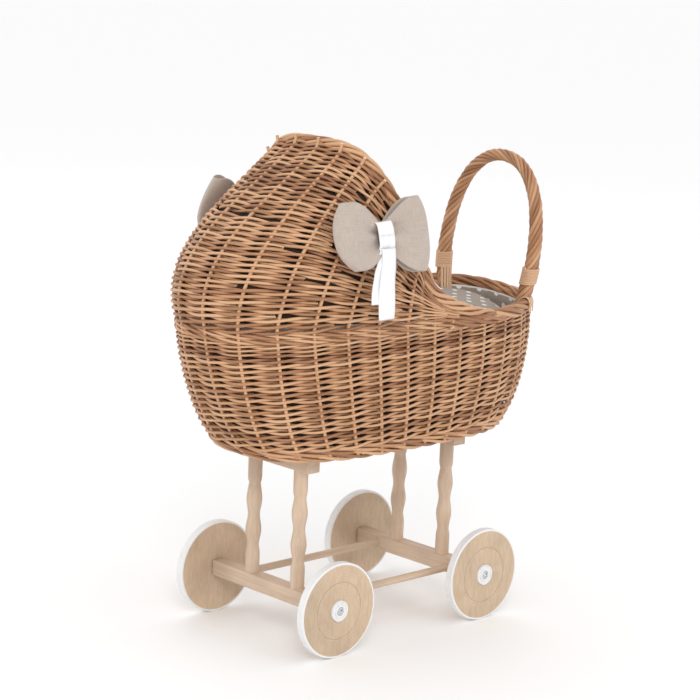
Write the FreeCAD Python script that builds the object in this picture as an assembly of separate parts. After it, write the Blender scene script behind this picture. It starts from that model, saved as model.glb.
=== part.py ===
"""Wicker doll pram: a willow basket with a woven hood and a roped push handle,
standing on four turned birch posts, two axle beams and four plywood wheels.

Millimetres.  +X points to the foot end, where the push handle is, +Y to the
right-hand side as seen by whoever pushes, +Z up.  The origin is on the ground
under the middle of the pram.
"""
import FreeCAD, Part
import math
import os

V = FreeCAD.Vector

# ---- wheels and what they turn on ------------------------------------------
WHEEL_RADIUS = 60.0          # over the rubber tyre
WHEEL_WIDTH = 10.5
TYRE_DEPTH = 2.5
GROOVE_RADIUS = 36.0         # decorative ring turned in the outer face
GROOVE_WIDTH = 1.6
GROOVE_DEPTH = 0.7
WHEELBASE = 255.4
TRACK_WIDTH = 240.0          # over the outer faces of the wheels
HUB_FLANGE_RADIUS = 13.0
HUB_FLANGE_THICKNESS = 1.6
HUB_COLLAR_RADIUS = 7.6
HUB_COLLAR_HEIGHT = 3.0
HUB_BARREL_RADIUS = 6.0
HUB_RIM_HEIGHT = 0.9         # raised edge round the hub flange
RUNNING_CLEARANCE = 0.06     # radial, hub on screw
END_CLEARANCE = 0.4          # wheel to washer, and wheel to screw head
AXLE_SCREW_RADIUS = 3.0
AXLE_SCREW_GRIP = 30.0       # how deep the screw goes into the beam
SCREW_HEAD_RADIUS = 4.9
SCREW_HEAD_HEIGHT = 3.2
SOCKET_RADIUS = 2.5
SOCKET_DEPTH = 2.0
WASHER_RADIUS = 9.0
WASHER_THICKNESS = 1.5

# ---- wooden undercarriage --------------------------------------------------
BEAM_SIDE = 20.0             # square section of the axle beams and battens
EDGE_RADIUS = 1.5
ROD_RADIUS = 4.75
ROD_SPACING = 138.0          # between the two side rods
ROD_TENON = 7.0
POST_SPACING = 85.4          # across the pram
POST_HEIGHT = 151.0
POST_RADIUS = 9.0
POST_NECK_RADIUS = 7.6
POST_BEAD_RADIUS = 10.0
POST_PLAIN_END = 34.0        # straight length at each end of a post
BATTEN_LENGTH = 130.0
POST_SCREW_RADIUS = 2.0
POST_SCREW_GRIP = 26.0       # thread length inside a post
POST_SCREW_HEAD_RADIUS = 4.2
POST_SCREW_HEAD_HEIGHT = 2.6
FLOOR_WASHER_RADIUS = 9.0
FLOOR_WASHER_THICKNESS = 1.2

# ---- willow basket ---------------------------------------------------------
BASKET_HALF_LENGTH = 267.4   # at the rim, outside
BASKET_HALF_WIDTH = 123.1
BASKET_DEPTH = 164.0
LENGTH_TAPER = 64.7          # how much the half length loses down to the floor
WIDTH_TAPER = 17.7
RIM_POWER = 2.59             # squareness of the oval: 2 is an ellipse
FLOOR_POWER = 3.0
FLOOR_SHIFT = 12.0           # the floor sits this much nearer to the foot end
BOWL_SHARE, BOWL_POWER = 0.78, 1.8   # the wall draws in slowly towards the floor ...
TURN_SHARE, TURN_POWER = 0.22, 8.0   # ... and turns under quickly just above it
WALL = 9.0                   # stake plus weavers
FLOOR_THICKNESS = 8.0
BORDER_HEIGHT = 13.0         # plaited edge above the wall
BORDER_OVERHANG = 3.0
BORDER_WIDEST = 0.45         # share of its height at which the border is widest
BORDER_TOP_IN = 3.5          # how far its rounded top draws in
BORDER_INSIDE = 1.5          # how much further in than the wall it reaches

# ---- willow hood -----------------------------------------------------------
HOOD_RISE = 220.0            # top of the arch above the rim
ARCH_HALF_WIDTH = 124.9
ARCH_POWER = 3.54
ARCH_TOP_X = -86.1
ARCH_LEAN = 0.52             # how far the arch leans back per height
ARCH_FOOT_REACH = 45.0       # the arch ends sweep forward by this much ...
ARCH_FOOT_HEIGHT = 45.0      # ... over this height above the rim
HOOD_FLARE = 18.35           # degrees, outward at the rim
HOOD_PITCH = 42.6            # degrees, slope of the hood where it meets the arch
STAKE_REACH_LOW = 0.375      # share of a stake's chord that keeps the rim slope
STAKE_REACH_HIGH = 0.319     # the same at the arch
ARCH_BORDER_DEPTH = 13.0     # plaited arch border, measured inward
ARCH_BORDER_WIDTH = 17.0     # and from back to front
ARCH_END_SHARE = 0.012       # the arch border starts this share of the way round
HOOD_END_SHARE = 0.03        # the hood's weave stops this close to its corners
LINING_END_SHARE = 0.06
SHELL_BITE = 4.0             # the weave's ends are pushed this far into the border
HOOD_COLUMNS, HOOD_ROWS = 25, 11     # points each hood sheet is drawn through

# ---- push handle -----------------------------------------------------------
HANDLE_RADIUS = 9.5
HANDLE_HALF_WIDTH = 79.4
HANDLE_WIDEST_RISE = 56.0    # above the rim
HANDLE_RISE = 179.7          # top of the hoop's centre line above the rim
HANDLE_POWER = 2.2
HANDLE_FOOT_IN = 38.0        # from the basket's foot end back to a leg ...
HANDLE_FOOT_RISE = 30.0      # ... at this height above the rim
HANDLE_LEAN = 0.15           # leans to the foot end per height
HANDLE_TUCK = 13.3           # the legs draw in by this much 80 mm below the widest
HANDLE_TUCK_SPAN = 80.0
BINDING_LIFT = 6.0           # above the border
BINDING_HEIGHT = 24.0
BINDING_THICKNESS = 1.6
LASHING_WIDTH = 26.0
LASHING_THICKNESS = 2.0
LASHING_CLEAR = 2.0          # the lashing ends this far above the liner's edge
LASHING_IN = 5.0             # its middle is this much nearer the middle than the leg

# ---- textiles --------------------------------------------------------------
LINER_THICKNESS = 1.6
LINER_GAP = 0.8              # between the wall and the liner
LINER_TOP_GAP = 14.0         # liner edge below the rim
LINER_LIFT = 0.5             # between the screw heads and the liner
LINING_LIFT = 1.0            # between the rim and the hood's lining
QUILT_BELOW_RIM = 3.0        # flat top of the padded bed, a little below the rim
QUILT_CLEARANCE = 1.5        # between the quilt and the liner
QUILT_SHOULDER = 37.0        # height over which the quilt's edge rounds over
QUILT_ROLL_IN = 59.0         # how far the rounded edge comes in, at a full quarter turn
QUILT_ROLL = 0.97            # share of that quarter turn that the edge makes
QUILT_TURNS = (0.35, 0.6, 0.8, 1.0)  # heights in the shoulder at which it is drawn
QUILT_LIFT = 0.5             # between the liner's bottom and the quilt
QUILT_SKIN = 6.0             # cover and wadding together
BOW_LENGTH = 136.0
BOW_HEIGHT = 92.0
BOW_DEPTH = 24.0
BOW_STANDOFF = 3.0           # between the hood and the back of a bow
BOW_X = {"left": -94.0, "right": -86.0}
BOW_RISE = 113.0             # middle of a bow above the rim
LOOP_SHARES = ((1.0, 0.74, 0.25), (0.8, 0.94, 0.72), (0.5, 0.84, 0.95), (0.2, 0.40, 0.80))
KNOT_SHARES = (0.27, 0.62)   # height and depth at the knot; above, after the place along a loop
BAND_HEIGHT = 36.8           # the band's opening, which the pinched loops fill
BAND_DEPTH = 19.2
BAND_WIDTH = 24.0
BAND_WALL = 1.2
RIBBON_WIDTH = 24.0
RIBBON_THICKNESS = 1.0
TAIL_LENGTHS = (62.0, 80.0)
TAIL_STEP = 8.0              # sideways, from one tail to the other
TAIL_STANDOFF = 3.0
TAIL_GAP = 0.2               # between the band and the tails

# ---- worked out from the above ---------------------------------------------
AXLE_Z = WHEEL_RADIUS
AXLE_X = WHEELBASE / 2
POST_Y = POST_SPACING / 2
BEAM_TOP = AXLE_Z + BEAM_SIDE / 2
POST_TOP = BEAM_TOP + POST_HEIGHT
FLOOR_Z = POST_TOP + BEAM_SIDE
RIM_Z = FLOOR_Z + BASKET_DEPTH
HANDLE_FOOT_X = BASKET_HALF_LENGTH - HANDLE_FOOT_IN
HANDLE_FOOT_Z = RIM_Z + HANDLE_FOOT_RISE
HANDLE_WIDEST_Z = RIM_Z + HANDLE_WIDEST_RISE
HANDLE_TOP_Z = RIM_Z + HANDLE_RISE
QUILT_CROWN_Z = RIM_Z - QUILT_BELOW_RIM
BOW_Z = RIM_Z + BOW_RISE
WHEEL_OUTER_Y = TRACK_WIDTH / 2
WHEEL_INNER_Y = WHEEL_OUTER_Y - WHEEL_WIDTH
BEAM_END_Y = WHEEL_INNER_Y - END_CLEARANCE - WASHER_THICKNESS

ENDS = {"head": -1, "foot": 1}
SIDES = {"left": -1, "right": 1}


# ---- small helpers ---------------------------------------------------------
def save(shape, node):
    """Write one sub-part and say how big it is."""
    shape.exportStep("parts/%s.step" % node)
    print("%-24s %10.0f mm3 %s" % (node, shape.Volume, "ok" if shape.isValid() else "NOT VALID"))


def box(x, y, z):
    """A box given by its (low, high) pairs."""
    return Part.makeBox(x[1] - x[0], y[1] - y[0], z[1] - z[0], V(x[0], y[0], z[0]))


def rounded_bar(x, y, z):
    """A square bar with its long edges eased."""
    bar = box(x, y, z)
    longest = max(high - low for low, high in (x, y, z))
    long_edges = [edge for edge in bar.Edges if abs(edge.Length - longest) < 1e-6]
    return bar.makeFillet(EDGE_RADIUS, long_edges)


def solid_from_faces(faces):
    """Sew faces that share edges into one solid."""
    shell = Part.makeShell(faces)
    shell.sewShape()
    solid = Part.makeSolid(Part.Shell(shell.Faces))
    if solid.Volume < 0:
        solid.reverse()
    return solid


def largest(shape):
    """The biggest solid of a cut, without stray slivers."""
    return max(shape.Solids, key=lambda solid: solid.Volume)


def oval_direction(power, angle):
    """Cosine and sine of a superellipse, spread evenly by angle."""
    c, s = math.cos(angle), math.sin(angle)
    size = (abs(c) ** power + abs(s) ** power) ** (1 / power)
    return c / size, s / size


def closed_curve(points):
    """A smooth closed wire through the points."""
    curve = Part.BSplineCurve()
    curve.interpolate(Points=points, PeriodicFlag=True)
    return Part.Wire(curve.toShape())


def tube_along(centres, tangents, radius):
    """A round rod through centre points, as one smooth solid."""
    rings = []
    for centre, tangent in zip(centres, tangents):
        rings.append(Part.Wire(Part.Circle(centre, tangent, radius).toShape()))
    return Part.makeLoft(rings, True, False)


# ---- undercarriage ---------------------------------------------------------
def axle_screw_solid(side):
    """Screw along Y: a socket head outside the wheel and a shank into the beam."""
    head_base = WHEEL_OUTER_Y + END_CLEARANCE
    tip = BEAM_END_Y - AXLE_SCREW_GRIP
    shank = Part.makeCylinder(AXLE_SCREW_RADIUS, head_base - tip, V(0, tip, 0), V(0, 1, 0))
    head = Part.makeCylinder(SCREW_HEAD_RADIUS, SCREW_HEAD_HEIGHT, V(0, head_base, 0), V(0, 1, 0))
    head = head.makeFillet(0.8, [e for e in head.Edges if e.Curve.TypeId == "Part::GeomCircle"
                                 and abs(e.Curve.Center.y - head_base - SCREW_HEAD_HEIGHT) < 1e-6])
    socket = hexagon_prism(SOCKET_RADIUS, SOCKET_DEPTH + 1, head_base + SCREW_HEAD_HEIGHT - SOCKET_DEPTH)
    screw = shank.fuse(head).removeSplitter().cut(socket)
    return mirrored_to(side, screw)


def hexagon_prism(radius, height, start_y):
    """Hexagonal prism along +Y."""
    corners = [V(radius * math.cos(math.radians(60 * i)), start_y, radius * math.sin(math.radians(60 * i)))
               for i in range(7)]
    return Part.Face(Part.makePolygon(corners)).extrude(V(0, height, 0))


def mirrored_to(side, shape):
    """Shapes are drawn on the right (+Y); the left one is the mirror image."""
    return shape if side > 0 else shape.mirror(V(0, 0, 0), V(0, 1, 0))


def wheel_pieces(end, side):
    """Plywood disc, rubber tyre and plastic hub of one wheel."""
    centre = V(end * AXLE_X, WHEEL_INNER_Y, AXLE_Z)
    axis = V(0, 1, 0)
    disc_radius = WHEEL_RADIUS - TYRE_DEPTH
    disc = Part.makeCylinder(disc_radius, WHEEL_WIDTH, centre, axis)
    groove_start = centre + V(0, WHEEL_WIDTH - GROOVE_DEPTH, 0)
    groove = Part.makeCylinder(GROOVE_RADIUS + GROOVE_WIDTH / 2, GROOVE_DEPTH + 1, groove_start, axis)
    groove = groove.cut(Part.makeCylinder(GROOVE_RADIUS - GROOVE_WIDTH / 2, GROOVE_DEPTH + 1, groove_start, axis))
    disc = disc.cut(groove).cut(Part.makeCylinder(HUB_BARREL_RADIUS, WHEEL_WIDTH, centre, axis))

    tyre = Part.makeCylinder(WHEEL_RADIUS, WHEEL_WIDTH, centre, axis)
    tyre = tyre.makeFillet(1.0, [e for e in tyre.Edges if e.Curve.TypeId == "Part::GeomCircle"])
    tyre = tyre.cut(Part.makeCylinder(disc_radius, WHEEL_WIDTH, centre, axis))

    face = centre + V(0, WHEEL_WIDTH, 0)
    flange = Part.makeCylinder(HUB_FLANGE_RADIUS, HUB_FLANGE_THICKNESS, face, axis)
    rim = Part.makeCylinder(HUB_FLANGE_RADIUS, HUB_RIM_HEIGHT, face + V(0, HUB_FLANGE_THICKNESS, 0), axis)
    rim = rim.cut(Part.makeCylinder(HUB_FLANGE_RADIUS - 1.6, HUB_RIM_HEIGHT,
                                    face + V(0, HUB_FLANGE_THICKNESS, 0), axis))
    collar = Part.makeCylinder(HUB_COLLAR_RADIUS, HUB_COLLAR_HEIGHT, face, axis)
    barrel = Part.makeCylinder(HUB_BARREL_RADIUS, WHEEL_WIDTH, centre, axis)
    hub = flange.fuse([rim, collar, barrel]).removeSplitter()
    bore = Part.makeCylinder(AXLE_SCREW_RADIUS + RUNNING_CLEARANCE, WHEEL_WIDTH, centre, axis)
    head_pocket = Part.makeCylinder(SCREW_HEAD_RADIUS + END_CLEARANCE, HUB_COLLAR_HEIGHT + 1, face, axis)
    hub = hub.cut(bore).cut(head_pocket)
    return [mirrored_to(side, piece) for piece in (disc, tyre, hub)]


def axle_washer(end, side):
    """Plain washer that keeps the wheel off the beam's end."""
    start = V(end * AXLE_X, BEAM_END_Y, AXLE_Z)
    ring = Part.makeCylinder(WASHER_RADIUS, WASHER_THICKNESS, start, V(0, 1, 0))
    hole = Part.makeCylinder(AXLE_SCREW_RADIUS, WASHER_THICKNESS, start, V(0, 1, 0))
    return mirrored_to(side, ring.cut(hole))


def axle_screw(end, side):
    screw = axle_screw_solid(side)
    screw.translate(V(end * AXLE_X, 0, AXLE_Z))
    return screw


def side_rod(side):
    """Dowel between the beams, glued into a blind hole at each end."""
    reach = AXLE_X - BEAM_SIDE / 2 + ROD_TENON
    return Part.makeCylinder(ROD_RADIUS, 2 * reach, V(-reach, side * ROD_SPACING / 2, AXLE_Z), V(1, 0, 0))


def lower_screw(end, side):
    """Countersunk screw up through the beam into the foot of a post."""
    base = AXLE_Z - BEAM_SIDE / 2
    at = V(end * AXLE_X, side * POST_Y, base)
    shank = Part.makeCylinder(POST_SCREW_RADIUS, BEAM_SIDE + POST_SCREW_GRIP, at)
    head = Part.makeCone(POST_SCREW_HEAD_RADIUS, POST_SCREW_RADIUS, POST_SCREW_HEAD_HEIGHT, at)
    return shank.fuse(head).removeSplitter()


def floor_washer(end, side):
    """Wide washer that spreads a screw's pull over the woven floor."""
    at = V(end * AXLE_X, side * POST_Y, FLOOR_Z + FLOOR_THICKNESS)
    ring = Part.makeCylinder(FLOOR_WASHER_RADIUS, FLOOR_WASHER_THICKNESS, at)
    return ring.cut(Part.makeCylinder(POST_SCREW_RADIUS, FLOOR_WASHER_THICKNESS, at))


def floor_screw(end, side):
    """Screw from inside the basket through floor and batten into the post's head."""
    head_base = FLOOR_Z + FLOOR_THICKNESS + FLOOR_WASHER_THICKNESS
    tip = POST_TOP - POST_SCREW_GRIP
    at = V(end * AXLE_X, side * POST_Y, tip)
    shank = Part.makeCylinder(POST_SCREW_RADIUS, head_base - tip, at)
    head = Part.makeCylinder(POST_SCREW_HEAD_RADIUS, POST_SCREW_HEAD_HEIGHT, at + V(0, 0, head_base - tip))
    head = head.makeFillet(1.2, [e for e in head.Edges if e.Curve.TypeId == "Part::GeomCircle"
                                 and abs(e.Curve.Center.z - head_base - POST_SCREW_HEAD_HEIGHT) < 1e-6])
    return shank.fuse(head).removeSplitter()


def axle_beam(end):
    """Square beam across the pram, bored for its screws and the side rods."""
    x = end * AXLE_X
    half = BEAM_SIDE / 2
    beam = rounded_bar((x - half, x + half), (-BEAM_END_Y, BEAM_END_Y), (AXLE_Z - half, AXLE_Z + half))
    for side in SIDES.values():
        beam = beam.cut([axle_screw(end, side), side_rod(side), lower_screw(end, side)])
    return beam


def batten(end):
    """Square bar under the basket floor, resting on two posts."""
    x = end * AXLE_X
    half = BEAM_SIDE / 2
    bar = rounded_bar((x - half, x + half), (-BATTEN_LENGTH / 2, BATTEN_LENGTH / 2), (POST_TOP, FLOOR_Z))
    return bar.cut([floor_screw(end, side) for side in SIDES.values()])


def post(end, side):
    """Turned post: plain ends and a wavy middle with two beads and three necks."""
    turned = POST_HEIGHT - 2 * POST_PLAIN_END
    quarter = turned / 4
    heights = [POST_PLAIN_END + quarter * k for k in range(5)]
    radii = [POST_NECK_RADIUS, POST_BEAD_RADIUS] * 2 + [POST_NECK_RADIUS]
    wave = Part.BSplineCurve()
    profile = [V(POST_RADIUS, 0, heights[0] - quarter / 2)]
    profile += [V(r, 0, h) for r, h in zip(radii, heights)]
    profile.append(V(POST_RADIUS, 0, heights[-1] + quarter / 2))
    wave.interpolate(Points=profile, InitialTangent=V(0, 0, 1), FinalTangent=V(0, 0, 1))
    low, high = profile[0], profile[-1]
    edges = [
        Part.LineSegment(V(0, 0, 0), V(POST_RADIUS, 0, 0)).toShape(),
        Part.LineSegment(V(POST_RADIUS, 0, 0), low).toShape(),
        wave.toShape(),
        Part.LineSegment(high, V(POST_RADIUS, 0, POST_HEIGHT)).toShape(),
        Part.LineSegment(V(POST_RADIUS, 0, POST_HEIGHT), V(0, 0, POST_HEIGHT)).toShape(),
        Part.LineSegment(V(0, 0, POST_HEIGHT), V(0, 0, 0)).toShape(),
    ]
    turned_post = Part.Face(Part.Wire(edges)).revolve(V(0, 0, 0), V(0, 0, 1), 360)
    turned_post.translate(V(end * AXLE_X, side * POST_Y, BEAM_TOP))
    return turned_post.cut([lower_screw(end, side), floor_screw(end, side)])


# ---- basket ----------------------------------------------------------------
def basket_oval(z, inset=0.0, count=32):
    """The basket's outline at a height, moved inwards by inset."""
    rise = (z - FLOOR_Z) / BASKET_DEPTH
    below = max(0.0, 1 - rise)
    taper = BOWL_SHARE * below ** BOWL_POWER + TURN_SHARE * below ** TURN_POWER
    half_length = BASKET_HALF_LENGTH - LENGTH_TAPER * taper - inset
    half_width = BASKET_HALF_WIDTH - WIDTH_TAPER * taper - inset
    power = FLOOR_POWER + (RIM_POWER - FLOOR_POWER) * min(1.0, rise)
    shift = FLOOR_SHIFT * (1 - min(1.0, rise) ** 1.5)
    points = []
    for i in range(count):
        c, s = oval_direction(power, 2 * math.pi * i / count)
        points.append(V(shift + half_length * c, half_width * s, z))
    return closed_curve(points)


def basket_body(inset, low, high):
    """The space inside the basket's outline between two heights."""
    stations = 9
    heights = [low + (high - low) * (i / (stations - 1)) ** 1.5 for i in range(stations)]
    return Part.makeLoft([basket_oval(z, inset) for z in heights], True, False)


def floor_fixings():
    return [floor_screw(end, side) for end in ENDS.values() for side in SIDES.values()]


def basket_floor():
    """Woven oval base, held to the battens by four screws."""
    plate = Part.makeLoft([basket_oval(z) for z in (FLOOR_Z, FLOOR_Z + FLOOR_THICKNESS / 2,
                                                    FLOOR_Z + FLOOR_THICKNESS)], True, False)
    return plate.cut(floor_fixings())


def basket_wall():
    """Woven side wall from the floor to the rim."""
    low = FLOOR_Z + FLOOR_THICKNESS
    outer = basket_body(0.0, low, RIM_Z)
    return outer.cut(basket_body(WALL, low, RIM_Z))


def foot_border():
    """Plaited edge on the wall, round the foot end from corner to corner."""
    layers = ((0.0, 0.0), (BORDER_WIDEST, BORDER_OVERHANG), (1.0, -BORDER_TOP_IN))
    outer_wires = []
    inner_wires = []
    for share, swell in layers:
        z = RIM_Z + share * BORDER_HEIGHT
        outer_wires.append(basket_oval(z, -swell))
        inner_wires.append(basket_oval(z, WALL + BORDER_INSIDE + swell))
    ring = Part.makeLoft(outer_wires, True, False).cut(Part.makeLoft(inner_wires, True, False))
    far = 2 * BASKET_HALF_LENGTH
    keep = box((arch_point(0.0).x - ARCH_BORDER_WIDTH, far), (-far, far), (RIM_Z, RIM_Z + BORDER_HEIGHT))
    return ring.common(keep)


# ---- hood ------------------------------------------------------------------
def arch_point(share):
    """Outer edge of the hood's mouth; share runs from 0 (left corner) to 1 (right corner)."""
    c, s = oval_direction(ARCH_POWER, math.pi * share)
    z = RIM_Z + HOOD_RISE * s
    sweep = max(0.0, (RIM_Z + ARCH_FOOT_HEIGHT - z) / ARCH_FOOT_HEIGHT)
    x = ARCH_TOP_X + ARCH_LEAN * (RIM_Z + HOOD_RISE - z) + ARCH_FOOT_REACH * sweep ** 2
    return V(x, -ARCH_HALF_WIDTH * c, z)


def corner_angle():
    """Angle on the rim oval where the arch comes down, found by halving."""
    target = arch_point(0.0).x
    low, high = 0.0, math.pi
    for _ in range(40):
        middle = (low + high) / 2
        if BASKET_HALF_LENGTH * oval_direction(RIM_POWER, middle)[0] > target:
            low = middle
        else:
            high = middle
    return low


def rim_point(share):
    """Outer rim at the head end, from the left corner round to the right one."""
    start = corner_angle()
    angle = -start - (2 * math.pi - 2 * start) * share
    c, s = oval_direction(RIM_POWER, angle)
    point = V(BASKET_HALF_LENGTH * c, BASKET_HALF_WIDTH * s, RIM_Z)
    slope = V(math.copysign(abs(c) ** (RIM_POWER - 1), c) / BASKET_HALF_LENGTH,
              math.copysign(abs(s) ** (RIM_POWER - 1), s) / BASKET_HALF_WIDTH, 0)
    return point, slope.normalize()


def hood_point(share, climb):
    """A point of the hood: share goes round it, climb goes from the rim to the arch."""
    rim, outward = rim_point(share)
    arch = arch_point(share)
    chord = (arch - rim).Length
    flare, pitch = math.radians(HOOD_FLARE), math.radians(HOOD_PITCH)
    low = rim + (outward * math.sin(flare) + V(0, 0, math.cos(flare))) * (STAKE_REACH_LOW * chord)
    high = arch - V(math.cos(pitch), 0, math.sin(pitch)) * (STAKE_REACH_HIGH * chord)
    back = 1 - climb
    return (rim * back ** 3 + low * (3 * back ** 2 * climb)
            + high * (3 * back * climb ** 2) + arch * climb ** 3)


def hood_inward(share, climb):
    """Unit vector into the hood, square to its surface."""
    step = 0.004
    along = hood_point(min(1, share + step), climb) - hood_point(max(0, share - step), climb)
    up = hood_point(share, min(1, climb + step)) - hood_point(share, max(0, climb - step))
    return along.cross(up).normalize()


def hood_sheet(depth, thickness, setback, end_share=HOOD_END_SHARE, low_lift=0.0):
    """A curved sheet of even thickness, its outer face at a depth inside the hood.

    setback is how far it stops short of the arch and low_lift how far above the rim it starts.
    """
    outer, inner = [], []
    for i in range(HOOD_COLUMNS):
        share = end_share + (1 - 2 * end_share) * i / (HOOD_COLUMNS - 1)
        chord = (arch_point(share) - rim_point(share)[0]).Length
        last = 1 - setback / chord
        outer_row, inner_row = [], []
        for j in range(HOOD_ROWS):
            climb = last * j / (HOOD_ROWS - 1)
            point = hood_point(share, climb)
            inward = hood_inward(share, climb)
            for row, distance in ((outer_row, depth), (inner_row, depth + thickness)):
                moved = point + inward * distance
                if j == 0:
                    moved.z = RIM_Z + low_lift
                row.append(moved)
        outer.append(outer_row)
        inner.append(inner_row)
    surfaces = []
    for grid in (outer, inner):
        surface = Part.BSplineSurface()
        surface.interpolate(grid)
        surfaces.append(surface)
    faces = [surface.toShape() for surface in surfaces]
    first, last_u, low_v, high_v = surfaces[0].bounds()
    for make, at in (("uIso", first), ("uIso", last_u), ("vIso", low_v), ("vIso", high_v)):
        edges = [getattr(surface, make)(at).toShape() for surface in surfaces]
        faces.append(Part.makeRuledSurface(edges[0], edges[1]))
    return solid_from_faces(faces)


def hood_shell(border):
    """Woven hood, butted against the plaited border of its mouth."""
    return largest(hood_sheet(0.0, WALL, ARCH_BORDER_WIDTH / 2 - SHELL_BITE).cut(border))


def arch_frame(share):
    """Directions out of the arch and across its border at a point of it."""
    step = 0.002
    tangent = (arch_point(min(1, share + step)) - arch_point(max(0, share - step))).normalize()
    forward = V(1, 0, ARCH_LEAN).normalize()
    outward = tangent.cross(forward).normalize()
    if outward.dot(arch_point(share) - V(ARCH_TOP_X, 0, RIM_Z)) < 0:
        outward = outward * -1
    return outward, tangent.cross(outward).normalize()


def arch_border():
    """Plaited edge of the hood's mouth, from corner to corner."""
    sections = []
    stations = 33
    for i in range(stations):
        share = ARCH_END_SHARE + (1 - 2 * ARCH_END_SHARE) * i / (stations - 1)
        outward, across = arch_frame(share)
        centre = arch_point(share) - outward * (ARCH_BORDER_DEPTH / 2)
        ellipse = Part.Ellipse(centre + across * (ARCH_BORDER_WIDTH / 2),
                               centre + outward * (ARCH_BORDER_DEPTH / 2), centre)
        sections.append(Part.Wire(ellipse.toShape()))
    roll = Part.makeLoft(sections, True, False)
    far = 2 * BASKET_HALF_LENGTH
    above = box((-far, arch_point(0.0).x - ARCH_BORDER_WIDTH), (-far, far), (RIM_Z, RIM_Z + 2 * HOOD_RISE))
    return roll.common(above)


# ---- push handle -----------------------------------------------------------
def handle_line(low_z, stations=15):
    """Centre line of the roped hoop, from the left leg over to the right one."""
    def leg(z):
        tuck = HANDLE_TUCK * ((HANDLE_WIDEST_Z - z) / HANDLE_TUCK_SPAN) ** 2
        return HANDLE_HALF_WIDTH - tuck

    def place(y, z):
        return V(HANDLE_FOOT_X + HANDLE_LEAN * (z - HANDLE_FOOT_Z), y, z)

    steps = 4
    legs = [low_z + (HANDLE_WIDEST_Z - low_z) * i / steps for i in range(steps)]
    points = [place(-leg(z), z) for z in legs]
    for i in range(stations):
        c, s = oval_direction(HANDLE_POWER, math.pi * i / (stations - 1))
        points.append(place(-HANDLE_HALF_WIDTH * c, HANDLE_WIDEST_Z + (HANDLE_TOP_Z - HANDLE_WIDEST_Z) * s))
    points += [place(leg(z), z) for z in reversed(legs)]
    return points


def hoop(radius, low_z):
    """The hoop as a smooth round bar of a given radius."""
    curve = Part.BSplineCurve()
    points = handle_line(low_z)
    curve.interpolate(points)
    centres, tangents = [], []
    for point in points:
        centres.append(point)
        tangents.append(curve.tangent(curve.parameter(point))[0])
    return tube_along(centres, tangents, radius)


def handle_hoop():
    base = RIM_Z + BORDER_HEIGHT
    far = 2 * BASKET_HALF_LENGTH
    return hoop(HANDLE_RADIUS, RIM_Z).common(box((-far, far), (-far, far), (base, 2 * HANDLE_TOP_Z)))


def handle_binding(side, hoop_solid):
    """Skein of split willow wound round the foot of a leg."""
    base = RIM_Z + BORDER_HEIGHT + BINDING_LIFT
    sleeve = hoop(HANDLE_RADIUS + BINDING_THICKNESS, RIM_Z)
    near_y = sorted((0.0, side * 2 * BASKET_HALF_WIDTH))
    piece = sleeve.common(box((0, 2 * BASKET_HALF_LENGTH), near_y, (base, base + BINDING_HEIGHT)))
    return piece.cut(hoop_solid)


def handle_lashing(side, neighbours):
    """Strips that cross over the border and tie a leg of the handle to the wall."""
    t = LASHING_THICKNESS
    low = RIM_Z - LINER_TOP_GAP + LASHING_CLEAR
    outer_wires, inner_wires = [], []
    for z, swell in ((low, 0.0), (RIM_Z, 0.0), (RIM_Z + BORDER_WIDEST * BORDER_HEIGHT, BORDER_OVERHANG),
                     (RIM_Z + BORDER_HEIGHT + t, t - BORDER_TOP_IN)):
        outer_wires.append(basket_oval(z, -swell - t))
        inner_wires.append(basket_oval(z, WALL + BORDER_INSIDE + swell + t))
    ring = Part.makeLoft(outer_wires, True, False).cut(Part.makeLoft(inner_wires, True, False))
    leg_y = side * (HANDLE_HALF_WIDTH - LASHING_IN)
    half = LASHING_WIDTH / 2
    window = box((BASKET_HALF_LENGTH / 2, 2 * BASKET_HALF_LENGTH), (leg_y - half, leg_y + half),
                 (low, RIM_Z + BORDER_HEIGHT + t))
    return ring.common(window).cut(neighbours)


# ---- textiles --------------------------------------------------------------
def basket_liner():
    """Sewn cotton liner: a thin bag inside the basket, open at the top."""
    low = liner_floor_top() - LINER_THICKNESS
    top = RIM_Z - LINER_TOP_GAP
    outside = WALL + LINER_GAP
    bag = basket_body(outside, low, top)
    return bag.cut(basket_body(outside + LINER_THICKNESS, low + LINER_THICKNESS, top))


def liner_floor_top():
    """Top face of the liner's bottom, clear of the screw heads below it."""
    return (FLOOR_Z + FLOOR_THICKNESS + FLOOR_WASHER_THICKNESS + POST_SCREW_HEAD_HEIGHT + LINER_LIFT
            + LINER_THICKNESS)


def quilt_form(shrink):
    """The quilt's plump outline, made smaller all round by shrink."""
    inset = WALL + LINER_GAP + LINER_THICKNESS + QUILT_CLEARANCE + shrink
    low = liner_floor_top() + QUILT_LIFT + shrink
    shoulder = QUILT_CROWN_Z - QUILT_SHOULDER - shrink
    steps = 7
    sections = [basket_oval(low + (shoulder - low) * (i / steps) ** 1.5, inset) for i in range(steps + 1)]
    for turn in QUILT_TURNS:
        rolled = 1 - math.sqrt(1 - (turn * QUILT_ROLL) ** 2)
        sections.append(basket_oval(shoulder + QUILT_SHOULDER * turn, inset + QUILT_ROLL_IN * rolled))
    return Part.makeLoft(sections, True, False)


def quilt():
    """Padded bed that fills the liner, plump at its edge and level on top.

    It is hollow, because its stuffing weighs next to nothing.
    """
    return quilt_form(0.0).cut(quilt_form(QUILT_SKIN))


def hood_lining(border):
    """Cotton lining of the hood, edged in white where it meets the arch."""
    sheet = hood_sheet(WALL + LINER_GAP, LINER_THICKNESS, ARCH_BORDER_WIDTH / 2 - LINING_LIFT,
                       LINING_END_SHARE, LINING_LIFT)
    return largest(sheet.cut(border))


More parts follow.
